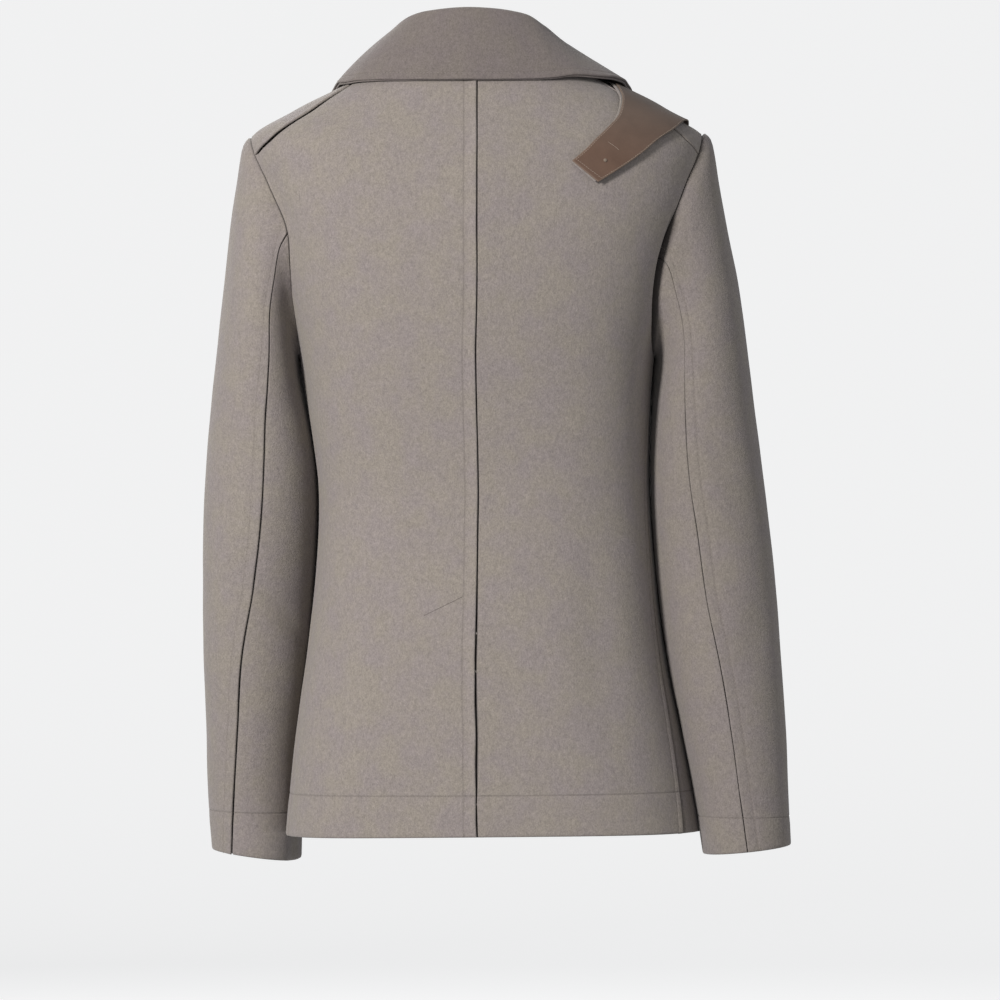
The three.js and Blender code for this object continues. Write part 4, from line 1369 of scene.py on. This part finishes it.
# The tab's edge stitching, in a paler thread and close to the leather's edge.
TAB_STITCH = 1.5
side_rows = np.linspace(0.22, 9.6, 160)
across = tab_place(side_rows, 0.0)[0] - tab_place(side_rows, 1.0)[0]
inset = TAB_STITCH / np.linalg.norm(across, axis=-1)
tip_shares = np.linspace(inset[0], 1 - inset[0], 30)
loop_rows = np.concatenate([side_rows[::-1], side_rows[0] + 0 * tip_shares, side_rows])
loop_shares = np.concatenate([inset[::-1], tip_shares, 1 - inset])
place, normal = tab_place(loop_rows, loop_shares)
top_face = raised + TAB_LEATHER / 2
edge_run = (place + normal * (top_face + 0.4 * undulate(place))[:, None], normal)
stitches(
    "tab_edge_stitching", [edge_run], leather_thread, "leather", pitch=2.3, scale=0.72
)

# The tab's buttonhole, a slit with pale edges, and the stud that closes the tab.
slit_at, slit_share = np.linspace(1.9, 1.7, 30), np.linspace(0.25, 0.56, 30)
place, normal = tab_place(slit_at, slit_share)
slit_run = (place + normal * (top_face + 0.12), normal)
stitches(
    "tab_buttonhole", [slit_run], leather_thread, "leather", pitch=1.15, scale=0.66
)


def select_flat(piece, up):
    """Selects the faces of a piece in edit mode that look up, or down for -1."""
    bpy.ops.mesh.select_mode(type="FACE")
    bpy.ops.mesh.select_all(action="DESELECT")
    work = bmesh.from_edit_mesh(piece.data)
    for face in work.faces:
        face.select_set(face.normal.z * up > 0.9)
    bmesh.update_edit_mesh(piece.data)


bpy.ops.object.select_all(action="DESELECT")
bpy.ops.mesh.primitive_cylinder_add(vertices=24, radius=0.0016, depth=0.0008)
stud = bpy.context.object
stud.name = "tab_stud"
bpy.ops.object.mode_set(mode="EDIT")
select_flat(stud, 1)
bpy.ops.mesh.inset(thickness=0.0006)
bpy.ops.transform.translate(value=(0, 0, 0.0004))
bpy.ops.object.mode_set(mode="OBJECT")
apply_bevel(stud, 0.0002, 2)
bpy.ops.object.shade_smooth_by_angle()


def upright(normal):
    """The level direction and the upward one on a face with this normal."""
    across = unit(np.cross([0, 0, 1.0], normal))
    return across, np.cross(normal, across)


def seat(piece, place, normal):
    """Moves a piece made at the origin to its place, its own top along the normal."""
    points = np.array([vert.co for vert in piece.data.vertices])
    turned = points @ np.array([*upright(normal), normal]) + place / 1000
    piece.data.vertices.foreach_set("co", turned.reshape(-1))
    piece.data.update()


stud_place, stud_normal = tab_place(1.0, 0.56)
seat(stud, stud_place + stud_normal * (top_face + 0.3), stud_normal)
dress(stud, thread("worn_stud", (0.17, 0.13, 0.10)), "leather")


# The buttons: six of dark horn-like resin, 28 mm across, each dished with a raised
# rim and four holes, and sewn through with the coat's thread.
BUTTON_RADIUS, BUTTON_THICK = 14.0, 4.0
BUTTON_SIDE = 62
BUTTON_HEIGHTS = [-345, -450, -555]
HOLE_OUT = 2.6

bpy.ops.object.select_all(action="DESELECT")
bpy.ops.mesh.primitive_cylinder_add(
    vertices=48, radius=BUTTON_RADIUS / 1000, depth=BUTTON_THICK / 1000
)
one_button = bpy.context.object
one_button.name = "one_button"
bpy.ops.object.mode_set(mode="EDIT")
select_flat(one_button, 1)
bpy.ops.mesh.inset(thickness=0.0014)
bpy.ops.mesh.inset(thickness=0.0016)
bpy.ops.transform.translate(value=(0, 0, -0.0009))
bpy.ops.mesh.inset(thickness=0.0045)
bpy.ops.transform.translate(value=(0, 0, -0.0004))
select_flat(one_button, -1)
bpy.ops.transform.resize(value=(0.84, 0.84, 1), center_override=(0, 0, -0.002))
bpy.ops.object.mode_set(mode="OBJECT")
apply_bevel(one_button, 0.0005, 3, 25)
for x, y in ((1, 1), (1, -1), (-1, -1), (-1, 1)):
    bpy.ops.object.select_all(action="DESELECT")
    bpy.ops.mesh.primitive_cylinder_add(
        vertices=16,
        radius=0.0011,
        depth=0.01,
        location=(x * HOLE_OUT / 1000, y * HOLE_OUT / 1000, 0),
    )
    drill = bpy.context.object
    bpy.context.view_layer.objects.active = one_button
    bpy.ops.object.modifier_add(type="BOOLEAN")
    cutter = one_button.modifiers[-1]
    cutter.object, cutter.operation = drill, "DIFFERENCE"
    bpy.ops.object.modifier_apply(modifier=cutter.name)
    bpy.data.objects.remove(drill)
bpy.ops.object.select_all(action="DESELECT")
one_button.select_set(True)
bpy.context.view_layer.objects.active = one_button
bpy.ops.object.shade_smooth_by_angle()


def horn():
    """Dark resin with the soft streaks of horn, polished, its roughness finely varied."""
    material, shade, shader = new_material("dark_horn")
    place = shade.node("TexCoord", output=3)
    drawn = shade.node("Mapping", None, {"Vector": place, "Scale": (1, 1, 5)})
    streaks = shade.noise(drawn, 90, 4, 0.6)
    fine = shade.noise(place, 700, 2, 0.5)
    colour = shade.tint(streaks, (0.028, 0.019, 0.014, 1), (0.125, 0.088, 0.064, 1))
    rough = 0.26 + 0.22 * fine
    finish_material(shade, shader, colour, fine, 0.12, 0.0001, rough)
    return material


horn_material = horn()
number = 0
button_threads = []
for height in BUTTON_HEIGHTS:
    for x in (-BUTTON_SIDE, BUTTON_SIDE):
        number += 1
        place = body(*find_place(x, height))
        normal = body_normal(*find_place(x, height))
        lift = wrap(-1, place) + WOOL / 2 + 0.3 + BUTTON_THICK / 2
        button = add_object(f"button_{number}_turned", one_button.data.copy())
        seat(button, place + normal * lift, normal)
        dress(button, horn_material, "button")
        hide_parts(f"button_{number}")
        across, along = upright(normal)
        middle = place + normal * (lift + BUTTON_THICK / 2 - 0.95)
        for part in (-1, 1):
            between = middle + across * HOLE_OUT * part
            reach = along * (HOLE_OUT + 0.6)
            ends = np.array([between - reach, between + reach])
            button_threads.append((ends, np.array([normal, normal])))
bpy.data.objects.remove(one_button)
stitches("button_threads", button_threads, wool_thread, "wool", pitch=6.0, scale=2.4)

# The buttonholes of the wearer's left row, close buttonhole stitch round a slit
# that runs from under each button towards the centre front.
holes = []
for height in BUTTON_HEIGHTS:
    for x in np.arange(34, 64, 0.75):
        for up in (-0.9, 0.9):
            z = height + up + np.array([-0.8, 0.8])
            spot = find_place(x, z)
            point, normal = body(*spot), body_normal(*spot)
            lift = undulate(point) + wrap(-1, point) + WOOL / 2 + 0.05
            holes.append((point + normal * lift[:, None], normal))
stitches("buttonhole_stitching", holes, wool_thread, "wool", pitch=1.5, scale=0.62)
